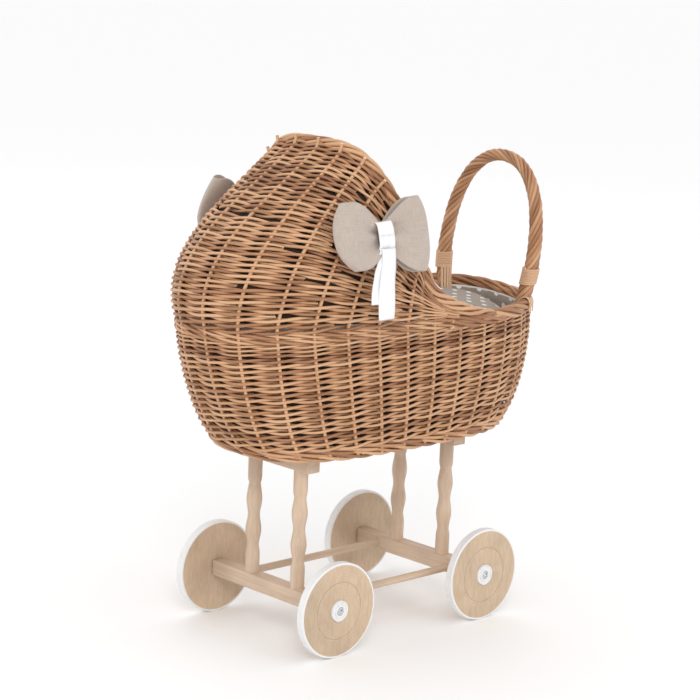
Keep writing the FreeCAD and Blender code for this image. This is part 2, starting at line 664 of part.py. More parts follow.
def bow_place(side):
    """Centre of a bow and the directions along it, up it and out of the hood."""
    x = BOW_X["left" if side < 0 else "right"]
    share, climb = 0.12, 0.5
    for _ in range(60):
        here = hood_point(share, climb)
        share += (x - here.x) * -0.0008
        climb += (BOW_Z - here.z) * 0.002
        share = min(0.45, max(0.02, share))
        climb = min(0.95, max(0.05, climb))
    surface = hood_point(share, climb)
    outward = hood_inward(share, climb) * -1
    along = V(1, 0, 0) - outward * outward.x
    along.normalize()
    up = outward.cross(along) * -1
    if up.z < 0:
        up = up * -1
    if side > 0:
        surface.y, outward.y, along.y, up.y = -surface.y, -outward.y, -along.y, -up.y
    return surface, along, up, outward


def bow_loops(side):
    """Folded linen rectangle, drawn in at the middle."""
    surface, along, up, outward = bow_place(side)
    centre = surface + outward * (BOW_DEPTH / 2 + BOW_STANDOFF)
    half = BOW_LENGTH / 2
    back_loop = [(-place, height, depth) for place, height, depth in LOOP_SHARES]
    sections = []
    for place, height, depth in back_loop + [(0.0,) + KNOT_SHARES] + list(reversed(LOOP_SHARES)):
        at = centre + along * (place * half)
        tall, deep = height * BOW_HEIGHT / 2, depth * BOW_DEPTH / 2
        ellipse = Part.Ellipse(at + up * tall, at + outward * deep, at)
        sections.append(Part.Wire(ellipse.toShape()))
    return Part.makeLoft(sections, True, False)


def oriented_block(centre, along, up, outward, size):
    """A block centred on a point with its edges along three given directions."""
    corner = centre - along * (size[0] / 2) - up * (size[1] / 2) - outward * (size[2] / 2)
    wire = Part.makePolygon([corner, corner + along * size[0], corner + along * size[0] + up * size[1],
                             corner + up * size[1], corner])
    return Part.Face(wire).extrude(outward * size[2])


def bow_band(side, loops):
    """White ribbon wrapped round the middle of the bow."""
    surface, along, up, outward = bow_place(side)
    centre = surface + outward * (BOW_DEPTH / 2 + BOW_STANDOFF)
    tall, deep = BAND_HEIGHT + 2 * BAND_WALL, BAND_DEPTH + 2 * BAND_WALL
    band = oriented_block(centre, along, up, outward, (BAND_WIDTH, tall, deep))
    return band.cut(loops)


def ribbon_tails(side):
    """The two free ends of the white ribbon, hanging below the band."""
    surface, along, up, outward = bow_place(side)
    top = surface + outward * (BOW_DEPTH / 2 + BOW_STANDOFF) - up * (BAND_HEIGHT / 2 + BAND_WALL + TAIL_GAP)
    down = V(0, 0, -1)
    across = V(1, 0, 0)
    out = V(0, math.copysign(1, side), 0)
    tails = []
    for index, length in enumerate(TAIL_LENGTHS):
        step = (index - 0.5) * TAIL_STEP
        layer = (index - 0.5) * 3 * RIBBON_THICKNESS
        centre = top + down * (length / 2) + across * step + out * (layer + TAIL_STANDOFF)
        tails.append(oriented_block(centre, across, V(0, 0, 1), out, (RIBBON_WIDTH, length, RIBBON_THICKNESS)))
    return Part.makeCompound(tails)


# ---- build everything ------------------------------------------------------
def group(make):
    """One solid at each of the four corners, kept as separate solids in one node."""
    return Part.makeCompound([make(end, side) for end in ENDS.values() for side in SIDES.values()])


os.makedirs("parts", exist_ok=True)

for end_name, end_sign in ENDS.items():
    save(axle_beam(end_sign), "axle_beam_" + end_name)
    save(batten(end_sign), "batten_" + end_name)
    for side_name, side_sign in SIDES.items():
        corner = end_name + "_" + side_name
        save(post(end_sign, side_sign), "post_" + corner)
        disc_piece, tyre_piece, hub_piece = wheel_pieces(end_sign, side_sign)
        for piece, name in ((disc_piece, "wheel_disc_"), (tyre_piece, "tyre_"), (hub_piece, "hub_bush_")):
            save(piece, name + corner)
        save(axle_screw(end_sign, side_sign), "axle_screw_" + corner)

for side_name, side_sign in SIDES.items():
    save(side_rod(side_sign), "side_rod_" + side_name)

save(group(axle_washer), "axle_washers")
save(group(lower_screw), "post_screws_lower")
save(group(floor_screw), "floor_screws")
save(group(floor_washer), "floor_washers")

save(basket_floor(), "basket_floor")
wall_solid = basket_wall()
save(wall_solid, "basket_wall")
border_solid = foot_border()
save(border_solid, "foot_border")
arch_solid = arch_border()
save(hood_shell(arch_solid), "hood_shell")
save(arch_solid, "hood_border")

hoop_solid = handle_hoop()
save(hoop_solid, "handle_hoop")
for side_name, side_sign in SIDES.items():
    save(handle_binding(side_sign, hoop_solid), "handle_binding_" + side_name)
    save(handle_lashing(side_sign, [wall_solid, border_solid, hoop_solid]), "handle_lashing_" + side_name)

save(basket_liner(), "basket_liner")
save(quilt(), "quilt")
save(hood_lining(arch_solid), "hood_lining")
for side_name, side_sign in SIDES.items():
    loops_solid = bow_loops(side_sign)
    save(loops_solid, "bow_loops_" + side_name)
    save(bow_band(side_sign, loops_solid), "bow_band_" + side_name)
    save(ribbon_tails(side_sign), "ribbon_tails_" + side_name)
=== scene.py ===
import math
import random

import bpy
import numpy as np
from mathutils import Matrix, Vector


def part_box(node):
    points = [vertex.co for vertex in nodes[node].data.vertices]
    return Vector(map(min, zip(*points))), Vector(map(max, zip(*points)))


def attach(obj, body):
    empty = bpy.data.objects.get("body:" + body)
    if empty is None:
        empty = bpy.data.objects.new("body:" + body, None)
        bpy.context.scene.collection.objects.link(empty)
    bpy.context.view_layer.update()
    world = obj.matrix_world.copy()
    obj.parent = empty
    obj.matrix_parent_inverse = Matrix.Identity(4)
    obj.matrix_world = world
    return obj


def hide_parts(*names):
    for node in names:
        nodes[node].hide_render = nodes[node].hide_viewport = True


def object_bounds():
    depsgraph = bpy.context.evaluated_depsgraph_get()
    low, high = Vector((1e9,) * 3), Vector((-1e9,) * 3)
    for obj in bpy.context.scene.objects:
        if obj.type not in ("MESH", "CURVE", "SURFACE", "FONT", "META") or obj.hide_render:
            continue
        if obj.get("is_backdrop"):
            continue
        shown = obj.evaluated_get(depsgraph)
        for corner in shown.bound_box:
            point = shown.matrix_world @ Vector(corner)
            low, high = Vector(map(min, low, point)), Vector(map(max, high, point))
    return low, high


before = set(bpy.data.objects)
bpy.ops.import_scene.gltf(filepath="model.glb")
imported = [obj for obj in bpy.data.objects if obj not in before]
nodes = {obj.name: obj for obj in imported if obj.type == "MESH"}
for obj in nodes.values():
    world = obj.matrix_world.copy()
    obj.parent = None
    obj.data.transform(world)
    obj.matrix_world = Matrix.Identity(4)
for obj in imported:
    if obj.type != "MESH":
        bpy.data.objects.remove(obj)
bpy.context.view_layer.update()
random.seed(41)


# ---- birch undercarriage ----------------------------------------------------
# Two square axle beams, two battens, four turned posts and two side rods of planed
# birch, sanded and oiled. Each keeps its own run of grain, and its arrises are rubbed pale.
BIRCH_PALE = (0.64, 0.49, 0.365, 1)
BIRCH_DARK = (0.55, 0.395, 0.28, 1)
BIRCH_RUBBED = (0.76, 0.64, 0.49, 1)
RUBBED_WIDTH = 0.0012


def feed(tree, value, socket):
    """Joins a socket to another node's output, or fills it with a value."""
    if isinstance(value, bpy.types.NodeSocket):
        tree.links.new(value, socket)
    else:
        socket.default_value = value


def place(tree, kind, joins=None, **settings):
    """Puts one shader node in a tree, with its settings, and its sockets joined or filled."""
    made = tree.nodes.new(kind)
    for name, value in settings.items():
        setattr(made, name, value)
    for name, value in (joins or {}).items():
        feed(tree, value, made.inputs[name])
    return made


def mixed(tree, share, first, second, how="MIX"):
    """Colour output of one colour laid over another."""
    made = place(tree, "ShaderNodeMix", data_type="RGBA", blend_type=how)
    for socket, value in ((0, share), (6, first), (7, second)):
        feed(tree, value, made.inputs[socket])
    return made.outputs[2]


def sums(tree, operation, first, second=0.0, third=0.0):
    """Output of one sum on numbers."""
    return place(tree, "ShaderNodeMath", {0: first, 1: second, 2: third}, operation=operation).outputs[0]


def vector_sum(tree, operation, first, second):
    """Output of one sum on vectors."""
    return place(tree, "ShaderNodeVectorMath", {0: first, 1: second}, operation=operation).outputs[0]


def own_place(tree):
    """Where a point is on its own piece, in metres."""
    return place(tree, "ShaderNodeTexCoord").outputs["Object"]


def facing(tree):
    """The three parts of the surface's direction."""
    normal = place(tree, "ShaderNodeNewGeometry").outputs["Normal"]
    return place(tree, "ShaderNodeSeparateXYZ", {0: normal}).outputs


def noise(tree, where, scale, detail):
    return place(tree, "ShaderNodeTexNoise", {"Vector": where, "Scale": scale, "Detail": detail}).outputs[0]


def spread(tree, value, low, high, to_low=0.0, to_high=1.0):
    """A number moved smoothly from one range to another and kept inside it."""
    joins = {"Value": value, "From Min": low, "From Max": high, "To Min": to_low, "To Max": to_high}
    return place(tree, "ShaderNodeMapRange", joins, interpolation_type="SMOOTHSTEP").outputs[0]


def new_effect(name, takes, gives):
    """An empty shader group with named sockets, its input node and its output node."""
    tree = bpy.data.node_groups.new(name, "ShaderNodeTree")
    for socket, kind, value in takes:
        tree.interface.new_socket(name=socket, in_out="INPUT", socket_type=kind).default_value = value
    for socket, kind in gives:
        tree.interface.new_socket(name=socket, in_out="OUTPUT", socket_type=kind)
    return tree, tree.nodes.new("NodeGroupInput").outputs, tree.nodes.new("NodeGroupOutput").inputs


def use_effect(tree, effect, joins=None):
    return place(tree, "ShaderNodeGroup", joins, node_tree=effect).outputs


def timber_grain_effect():
    """Long streaks of growth, short pores and a slow change of tone, along the stretch given."""
    takes = [("Pale", "NodeSocketColor", BIRCH_PALE), ("Dark", "NodeSocketColor", BIRCH_DARK),
             ("Stretch", "NodeSocketVector", (90, 90, 6))]
    gives = [("Colour", "NodeSocketColor"), ("Roughness", "NodeSocketFloat"), ("Height", "NodeSocketFloat")]
    tree, into, out = new_effect("timber grain", takes, gives)
    where = own_place(tree)
    along = vector_sum(tree, "MULTIPLY", where, into["Stretch"])
    shape = {"Vector": along, "Scale": 1.0, "Detail": 5.0, "Distortion": 0.7}
    figure = place(tree, "ShaderNodeTexNoise", shape).outputs[0]
    pores = noise(tree, along, 11.0, 3.0)
    cloud = noise(tree, where, 14.0, 2.0)
    growth = spread(tree, figure, 0.33, 0.66)
    fleck = spread(tree, pores, 0.58, 0.72)
    shade = sums(tree, "MULTIPLY", sums(tree, "SUBTRACT", 1.0, growth), 0.75)
    base = mixed(tree, shade, into["Pale"], into["Dark"])
    flecked = mixed(tree, sums(tree, "MULTIPLY", fleck, 0.30), base, into["Dark"])
    tone = spread(tree, cloud, 0.3, 0.7, 0.90, 1.08)
    toned = place(tree, "ShaderNodeVectorMath", {0: flecked, 3: tone}, operation="SCALE").outputs[0]
    tree.links.new(toned, out["Colour"])
    tree.links.new(spread(tree, figure, 0.3, 0.7, 0.62, 0.46), out["Roughness"])
    tree.links.new(sums(tree, "SUBTRACT", growth, fleck), out["Height"])
    return tree


def rubbed_edge_effect():
    """1 on arrises and 0 on flats, found by rounding the surface a little and comparing."""
    takes = [("Width", "NodeSocketFloat", RUBBED_WIDTH)]
    tree, into, out = new_effect("rubbed edge", takes, [("Mask", "NodeSocketFloat")])
    rounded = place(tree, "ShaderNodeBevel", {"Radius": into["Width"]}, samples=4).outputs[0]
    true = place(tree, "ShaderNodeNewGeometry").outputs["Normal"]
    compared = place(tree, "ShaderNodeVectorMath", {0: rounded, 1: true}, operation="DOT_PRODUCT")
    where = own_place(tree)
    patch = noise(tree, where, 60.0, 3.0)
    edge = spread(tree, compared.outputs["Value"], 0.985, 0.80)
    tree.links.new(sums(tree, "MULTIPLY", edge, spread(tree, patch, 0.35, 0.6, 0.35, 1.0)), out["Mask"])
    return tree


timber_grain = timber_grain_effect()
rubbed_edge = rubbed_edge_effect()


def start_material(name):
    material = bpy.data.materials.new(name)
    material.use_nodes = True
    return material, material.node_tree, material.node_tree.nodes["Principled BSDF"].inputs


def raise_surface(tree, shader, height, depth, strength=1.0):
    """Bump from a height map, with its real depth in metres."""
    joins = {"Height": height, "Distance": depth, "Strength": strength}
    tree.links.new(place(tree, "ShaderNodeBump", joins).outputs[0], shader["Normal"])


def birch(name, stretch, pale=BIRCH_PALE, dark=BIRCH_DARK):
    material, tree, shader = start_material(name)
    grain = use_effect(tree, timber_grain, {"Pale": pale, "Dark": dark, "Stretch": stretch})
    edge = use_effect(tree, rubbed_edge)
    tree.links.new(mixed(tree, edge["Mask"], grain["Colour"], BIRCH_RUBBED), shader["Base Color"])
    tree.links.new(grain["Roughness"], shader["Roughness"])
    raise_surface(tree, shader, grain["Height"], 0.00012)
    return material


def finish_node(name, material):
    slots = nodes[name].data.materials
    slots.clear()
    slots.append(material)


GRAIN_ACROSS, GRAIN_ALONG = 190.0, 7.0
birch_lengthways = birch("birch grain lengthways", (GRAIN_ALONG, GRAIN_ACROSS, GRAIN_ACROSS))
birch_sideways = birch("birch grain sideways", (GRAIN_ACROSS, GRAIN_ALONG, GRAIN_ACROSS))
birch_upright = birch("birch grain upright", (GRAIN_ACROSS, GRAIN_ACROSS, GRAIN_ALONG))
ENDS = ("head", "foot")
SIDES = ("left", "right")
CORNERS = [end + "_" + side for end in ENDS for side in SIDES]
for end in ENDS:
    finish_node("axle_beam_" + end, birch_sideways)
    finish_node("batten_" + end, birch_sideways)
for side in SIDES:
    finish_node("side_rod_" + side, birch_lengthways)
for corner in CORNERS:
    finish_node("post_" + corner, birch_upright)


# ---- wheels -------------------------------------------------------------------
# Birch plywood discs with a turned ring groove, a thin white rubber strip glued round
# the edge, and a moulded white bush at the hub. They run on plated socket screws.
PLY_PALE = (0.60, 0.455, 0.32, 1)
PLY_DARK = (0.52, 0.38, 0.255, 1)
PLY_GLUE = (0.23, 0.13, 0.065, 1)
PLY_THICKNESS = 0.0014
TURNING_RINGS = 190.0             # phase of the turning tool's fine rings over a wheel's width
RUBBER_WHITE = (0.80, 0.80, 0.80, 1)
RUBBER_DUSTY = (0.76, 0.755, 0.745, 1)
BUSH_WHITE, BUSH_SHADE = (0.84, 0.84, 0.85, 1), (0.76, 0.76, 0.775, 1)
ZINC_DULL, ZINC_BRIGHT = (0.52, 0.53, 0.55, 1), (0.72, 0.72, 0.73, 1)


def plywood():
    """Rotary-cut face veneer; the plies and their glue lines show where the disc is cut."""
    material, tree, shader = start_material("birch plywood")
    grain = use_effect(tree, timber_grain, {"Pale": PLY_PALE, "Dark": PLY_DARK, "Stretch": (260, 40, 60)})
    coordinates = place(tree, "ShaderNodeTexCoord")
    where = coordinates.outputs["Object"]
    from_hub = vector_sum(tree, "SUBTRACT", coordinates.outputs["Generated"], (0.5, 0.5, 0.5))
    level = vector_sum(tree, "MULTIPLY", from_hub, (1.0, 0.0, 1.0))
    radius = place(tree, "ShaderNodeVectorMath", {0: level}, operation="LENGTH").outputs["Value"]
    rings = sums(tree, "SINE", sums(tree, "MULTIPLY", radius, TURNING_RINGS))
    depth = place(tree, "ShaderNodeSeparateXYZ", {0: where}).outputs[1]
    ply = sums(tree, "SINE", sums(tree, "MULTIPLY", depth, math.pi / PLY_THICKNESS))
    turned = facing(tree)
    face = sums(tree, "ABSOLUTE", turned[1])
    cut = spread(tree, face, 0.9, 0.6)
    layered = mixed(tree, spread(tree, ply, -0.2, 0.2), PLY_DARK, PLY_PALE)
    glued = mixed(tree, spread(tree, sums(tree, "ABSOLUTE", ply), 0.3, 0.0), layered, PLY_GLUE)
    turned_face = mixed(tree, spread(tree, rings, 0.3, 1.0, 0.0, 0.16), grain["Colour"], PLY_DARK)
    base = mixed(tree, cut, turned_face, glued)
    edge = use_effect(tree, rubbed_edge)
    rubbed = mixed(tree, sums(tree, "MULTIPLY", edge["Mask"], 0.7), base, BIRCH_RUBBED)
    tree.links.new(rubbed, shader["Base Color"])
    tree.links.new(grain["Roughness"], shader["Roughness"])
    raise_surface(tree, shader, sums(tree, "ADD", grain["Height"], rings), 0.00006)
    return material


def white_rubber():
    """Matt white rubber, a little dusty and scuffed on the tread."""
    material, tree, shader = start_material("white rubber")
    where = own_place(tree)
    scuff = noise(tree, where, 140.0, 4.0)
    pitted = noise(tree, where, 1500.0, 2.0)
    turned = facing(tree)
    tread = spread(tree, sums(tree, "ABSOLUTE", turned[1]), 0.5, 0.1)
    dust = sums(tree, "MULTIPLY", tread, spread(tree, scuff, 0.4, 0.7, 0.1, 0.9))
    tree.links.new(mixed(tree, dust, RUBBER_WHITE, RUBBER_DUSTY), shader["Base Color"])
    tree.links.new(spread(tree, scuff, 0.3, 0.7, 0.55, 0.78), shader["Roughness"])
    raise_surface(tree, shader, pitted, 0.00006)
    return material


def white_plastic():
    """Glossy moulded plastic with faint flow marks round the gate."""
    material, tree, shader = start_material("moulded white plastic")
    where = own_place(tree)
    flow = noise(tree, where, 220.0, 3.0)
    tree.links.new(mixed(tree, spread(tree, flow, 0.3, 0.7), BUSH_WHITE, BUSH_SHADE), shader["Base Color"])
    tree.links.new(spread(tree, flow, 0.3, 0.7, 0.24, 0.40), shader["Roughness"])
    raise_surface(tree, shader, flow, 0.00003)
    return material


def plated_steel():
    """Bright zinc plating, brushed by the spanner, with dull patches spread by noise."""
    material, tree, shader = start_material("zinc plated steel")
    where = own_place(tree)
    smear = noise(tree, where, 420.0, 4.0)
    spangle = place(tree, "ShaderNodeTexVoronoi", {"Vector": where, "Scale": 900.0}).outputs["Distance"]
    tree.links.new(mixed(tree, spread(tree, smear, 0.3, 0.7), ZINC_DULL, ZINC_BRIGHT), shader["Base Color"])
    tree.links.new(spread(tree, smear, 0.3, 0.7, 0.22, 0.45), shader["Roughness"])
    shader["Metallic"].default_value = 1.0
    raise_surface(tree, shader, spangle, 0.00002)
    return material


plywood_face, tyre_rubber, bush_plastic, zinc = plywood(), white_rubber(), white_plastic(), plated_steel()
for corner in CORNERS:
    finish_node("wheel_disc_" + corner, plywood_face)
    finish_node("tyre_" + corner, tyre_rubber)
    finish_node("hub_bush_" + corner, bush_plastic)
    finish_node("axle_screw_" + corner, zinc)
for node in ("axle_washers", "post_screws_lower", "floor_screws", "floor_washers"):
    finish_node(node, zinc)


# ---- willow stakes and the side wall ----------------------------------------------
# Twenty-eight upright stakes of buff willow, with rows of paired rods twisted round
# them: each rod passes in front of one stake and behind the next, and the two cross between.
STAKE_COUNT = 28
FIRST_STAKE = 0.32                # in stake gaps, on from the middle of the head end
STEPS_PER_GAP = 9
WALL_MIDDLE = 0.0048              # depth of the stakes inside the wall's outer face
STAKE_RADIUS = 0.0023
STAKE_DEPTH = 0.0036              # the stakes are bowed out a little by the rods behind them
ROD_RADIUS = 0.00188
WEAVE_REACH = 0.0034              # how far a rod stands in front of or behind its stakes
LENGTH_TAPER, WIDTH_TAPER = 0.0647, 0.0177
RIM_POWER, FLOOR_POWER = 2.59, 3.0
BOWL_SHARE, BOWL_POWER = 0.78, 1.8
TURN_SHARE, TURN_POWER = 0.22, 8  # the tight turn under the lowest rows
FLOOR_SHIFT, SHIFT_POWER = 0.012, 1.5
UPRIGHT = np.array([0.0, 0.0, 1.0])
wall_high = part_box("basket_wall")[1]
floor_low, floor_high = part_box("basket_floor")
floor_z, floor_top = floor_low.z, floor_high.z
rim_z = wall_high.z
half_length, half_width = wall_high.x, wall_high.y
basket_depth = rim_z - floor_z
WILLOW_PALE = (0.66, 0.395, 0.22, 1)
WILLOW_MID = (0.47, 0.235, 0.112, 1)
WILLOW_RED = (0.29, 0.125, 0.055, 1)
WILLOW_CUT = (0.80, 0.62, 0.42, 1)
WILLOW_KNOT = (0.16, 0.07, 0.03, 1)
CUT_TONE = 2.0                    # marks the pale sawn end of a rod


def unit(vectors):
    return vectors / np.linalg.norm(vectors, axis=-1, keepdims=True)


def lengths_along(points):
    """How far along a line of points each of them is."""
    return np.concatenate([[0.0], np.cumsum(np.linalg.norm(np.diff(points, axis=0), axis=1))])


def wall_point(angle, z, depth):
    """A point of the side wall at an angle round its oval, a height and a depth inside it."""
    rise = np.minimum((z - floor_z) / basket_depth, 1.0)
    left = np.maximum(1 - rise, 0.0)
    taper = BOWL_SHARE * left ** BOWL_POWER + TURN_SHARE * left ** TURN_POWER
    power = FLOOR_POWER + (RIM_POWER - FLOOR_POWER) * rise
    c, s = np.cos(angle), np.sin(angle)
    size = (np.abs(c) ** power + np.abs(s) ** power) ** (1 / power)
    shift = FLOOR_SHIFT * (1 - np.maximum(rise, 0) ** SHIFT_POWER)
    x = shift + (half_length - LENGTH_TAPER * taper - depth) * c / size
    y = (half_width - WIDTH_TAPER * taper - depth) * s / size
    return np.stack([x, y, z + 0 * angle], -1)


ring = np.linspace(-math.pi, math.pi, 4001)
ring_lengths = lengths_along(wall_point(ring, rim_z, 0.0))


def station_angle(station):
    """Angle round the oval at a station; whole stations are stakes, spaced evenly on the rim."""
    turn = (np.asarray(station, float) + FIRST_STAKE) / STAKE_COUNT
    whole = np.floor(turn)
    return np.interp((turn - whole) * ring_lengths[-1], ring_lengths, ring) + 2 * math.pi * whole


def wall_surface(station, z, depth=WALL_MIDDLE):
    """Points of the wall with their outward and upward directions."""
    angle, small = station_angle(station), 0.002
    z = z + 0 * angle
    along = wall_point(angle + small, z, depth) - wall_point(angle - small, z, depth)
    up = unit(wall_point(angle, z + small, depth) - wall_point(angle, z - small, depth))
    return wall_point(angle, z, depth), unit(np.cross(along, up)), up


def rod_mesh(name, runs, material, sides=8):
    """One piece made of many rods. A run is (centres, outward, radius, tone, flatness)."""
    turn = np.arange(sides) * 2 * math.pi / sides
    points, corners, sizes, marks, tones, smooth = [], [], [], [], [], []
    base = 0
    for centres, outward, radius, tone, flatness in runs:
        count = len(centres)
        tangent = unit(np.gradient(centres, axis=0))
        across = unit(np.cross(tangent, outward))
        out = np.cross(across, tangent)
        radii = np.broadcast_to(radius, (count,))[:, None, None]
        sideways = across[:, None] * np.cos(turn)[None, :, None]
        circle = sideways + flatness * out[:, None] * np.sin(turn)[None, :, None]
        tube = centres[:, None] + radii * circle
        caps = np.concatenate([tube[0], tube[-1]])
        points.append(np.concatenate([tube.reshape(-1, 3), caps]))
        index = base + np.arange(count * sides).reshape(count, sides)
        beside = np.roll(index, -1, axis=1)
        quads = np.stack([index[:-1], index[1:], beside[1:], beside[:-1]], -1).reshape(-1)
        run_length = lengths_along(centres)
        u = np.broadcast_to(np.arange(sides) / sides, (count - 1, sides))
        v0 = np.broadcast_to(run_length[:-1, None], u.shape)
        v1 = np.broadcast_to(run_length[1:, None], u.shape)
        quad_marks = np.stack([u, v0, u, v1, u + 1 / sides, v1, u + 1 / sides, v0], -1).reshape(-1)
        first_cap = base + count * sides
        cap_corners = np.concatenate([np.arange(sides), sides + np.arange(sides)[::-1]]) + first_cap
        corners.append(np.concatenate([quads, cap_corners]))
        marks.append(np.concatenate([quad_marks, np.zeros(4 * sides)]))
        faces = (count - 1) * sides
        sizes.append(np.concatenate([np.full(faces, 4), [sides, sides]]))
        smooth.append(np.concatenate([np.ones(faces, bool), [False, False]]))
        tones.append(np.concatenate([np.full(count * sides, tone), np.full(2 * sides, CUT_TONE)]))
        base += count * sides + 2 * sides
    mesh = bpy.data.meshes.new(name)
    sizes = np.concatenate(sizes)
    mesh.vertices.add(base)
    mesh.vertices.foreach_set("co", np.concatenate(points).astype(np.float32).ravel())
    mesh.loops.add(int(sizes.sum()))
    mesh.loops.foreach_set("vertex_index", np.concatenate(corners).astype(np.int32))
    mesh.polygons.add(len(sizes))
    mesh.polygons.foreach_set("loop_start", np.concatenate([[0], np.cumsum(sizes)[:-1]]).astype(np.int32))
    mesh.polygons.foreach_set("use_smooth", np.concatenate(smooth))
    mesh.uv_layers.new(name="along").data.foreach_set("uv", np.concatenate(marks).astype(np.float32))
    tone_marks = mesh.attributes.new("tone", "FLOAT", "POINT")
    tone_marks.data.foreach_set("value", np.concatenate(tones).astype(np.float32))
    mesh.update(calc_edges=True)
    mesh.validate()
    mesh.materials.append(material)
    piece = bpy.data.objects.new(name, mesh)
    bpy.context.collection.objects.link(piece)
    return piece


def willow(name, pale=WILLOW_PALE, mid=WILLOW_MID, red=WILLOW_RED):
    """Boiled and peeled willow: satin skin, long streaks, small knots, each rod its own tone."""
    material, tree, shader = start_material(name)
    tone = place(tree, "ShaderNodeAttribute", attribute_name="tone").outputs["Fac"]
    mark = place(tree, "ShaderNodeUVMap", uv_map="along").outputs[0]
    where = own_place(tree)
    long_way = vector_sum(tree, "MULTIPLY", mark, (9.0, 16.0, 1.0))
    shifted = vector_sum(tree, "ADD", long_way, tone)
    streak = noise(tree, shifted, 1.6, 4.0)
    drift = noise(tree, where, 21.0, 2.0)
    knot_places = vector_sum(tree, "MULTIPLY", mark, (1.2, 22.0, 1.0))
    knots = place(tree, "ShaderNodeTexVoronoi", {"Vector": knot_places, "Scale": 1.0}).outputs["Distance"]
    knot = spread(tree, knots, 0.085, 0.03)
    warmth = sums(tree, "ADD", sums(tree, "MULTIPLY", tone, 0.62), sums(tree, "MULTIPLY", streak, 0.5))
    warmth = sums(tree, "ADD", warmth, sums(tree, "MULTIPLY", drift, 0.35))
    body = mixed(tree, spread(tree, warmth, 0.38, 0.80), red, mid)
    skin = mixed(tree, spread(tree, warmth, 0.62, 1.12), body, pale)
    knotted = mixed(tree, sums(tree, "MULTIPLY", knot, 0.65), skin, WILLOW_KNOT)
    cut = sums(tree, "GREATER_THAN", tone, 1.5)
    tree.links.new(mixed(tree, cut, knotted, WILLOW_CUT), shader["Base Color"])
    tree.links.new(spread(tree, streak, 0.3, 0.7, 0.36, 0.60), shader["Roughness"])
    shader["Coat Weight"].default_value = 0.08
    shader["Coat Roughness"].default_value = 0.35
    ridges = sums(tree, "ADD", streak, sums(tree, "MULTIPLY", knot, 0.8))
    raise_surface(tree, shader, ridges, 0.00025)
    return material


buff_willow = willow("buff willow")


def tone_of_rod():
    return random.uniform(0.0, 1.0)


def paired_rods(surface, stations, heights, lift, radius):
    """Two rods twisted round the stakes, front to back, crossing between one stake and the next."""
    centres, outward, up = surface(stations, heights)
    runs = []
    for rod in (0, 1):
        swing = math.pi * (stations + rod)
        front = np.cos(swing)
        path = centres + outward * (WEAVE_REACH * front)[:, None] + up * (lift * np.sin(swing))[:, None]
        thickness = radius * random.uniform(0.92, 1.08)
        runs.append((path, outward, thickness, tone_of_rod(), 0.92))
    return runs


def twisted_rods(centres, outward, turns, count, half_across, half_out, radius, taper=1.0):
    """A flat rope of rods round a line; turns says how far round it has gone at each point."""
    tangent = unit(np.gradient(centres, axis=0))
    across = unit(np.cross(tangent, outward))
    runs = []
    for rod in range(count):
        swing = 2 * math.pi * (turns + rod / count)
        sway = across * (half_across * taper * np.cos(swing))[:, None]
        path = centres + sway + outward * (half_out * taper * np.sin(swing))[:, None]
        runs.append((path, outward, radius * random.uniform(0.93, 1.07), tone_of_rod(), 1.0))
    return runs


def fixed(piece, slot, *replaced):
    """A piece of the body that never moves on it."""
    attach(piece, "carriage")
    if replaced:
        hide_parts(*replaced)
    return piece


full_ring = np.linspace(0, STAKE_COUNT, STAKE_COUNT * STEPS_PER_GAP + 1)
LOWEST_ROW_Z = floor_z + 0.0185
PLAIN_ROWS_TOP = rim_z - 0.0245
FINE_ROWS_TOP = rim_z - 0.0115
FINE_ROD_RADIUS = 0.00145
LOWER_RUNS = 22
LOW_PITCH, HIGH_PITCH, FINE_PITCH = 0.0084, 0.0068, 0.0052
row_z = LOWEST_ROW_Z
plain_runs = []
while row_z < PLAIN_ROWS_TOP:
    share = (row_z - LOWEST_ROW_Z) / (PLAIN_ROWS_TOP - LOWEST_ROW_Z)
    pitch = LOW_PITCH + (HIGH_PITCH - LOW_PITCH) * share
    wander = 0.00035 * np.sin(full_ring * random.uniform(0.4, 0.8) + random.uniform(0, 6.28))
    plain_runs += paired_rods(wall_surface, full_ring, row_z + wander, pitch / 4, ROD_RADIUS)
    row_z += pitch
while row_z < FINE_ROWS_TOP:
    plain_runs += paired_rods(wall_surface, full_ring, row_z + 0 * full_ring, FINE_PITCH / 4,
                              FINE_ROD_RADIUS)
    row_z += FINE_PITCH
lower_weave = rod_mesh("wall_weave_lower", plain_runs[:LOWER_RUNS], buff_willow)
upper_weave = rod_mesh("wall_weave_upper", plain_runs[LOWER_RUNS:], buff_willow)
fixed(lower_weave, "willow", "basket_wall")
fixed(upper_weave, "willow", "basket_wall")

FOOT_WALES = ((0.0062, 0.0043, 4), (0.0125, 0.0030, 3))   # height over the floor, half height, rods
FOOT_WALE_HALF_OUT, FOOT_WALE_ROD_RADIUS = 0.0029, 0.00205
SEAM_DROPS = (0.0072, 0.0010)
SEAM_HALF_UP, SEAM_HALF_OUT, SEAM_ROD_RADIUS = 0.0022, 0.0034, 0.00175
foot_wale_runs, seam_runs = [], []
for rise, half_up, count in FOOT_WALES:
    centres, outward, up = wall_surface(full_ring, floor_z + rise)
    foot_wale_runs += twisted_rods(centres, outward, -full_ring / 3, count, half_up, FOOT_WALE_HALF_OUT,
                                   FOOT_WALE_ROD_RADIUS)
for drop in SEAM_DROPS:
    centres, outward, up = wall_surface(full_ring, rim_z - drop)
    seam_runs += twisted_rods(centres, outward, -full_ring / 2, 3, SEAM_HALF_UP, SEAM_HALF_OUT,
                              SEAM_ROD_RADIUS)
fixed(rod_mesh("foot_wale", foot_wale_runs, buff_willow), "willow", "basket_wall")
fixed(rod_mesh("seam_wale", seam_runs, buff_willow), "willow", "basket_wall")


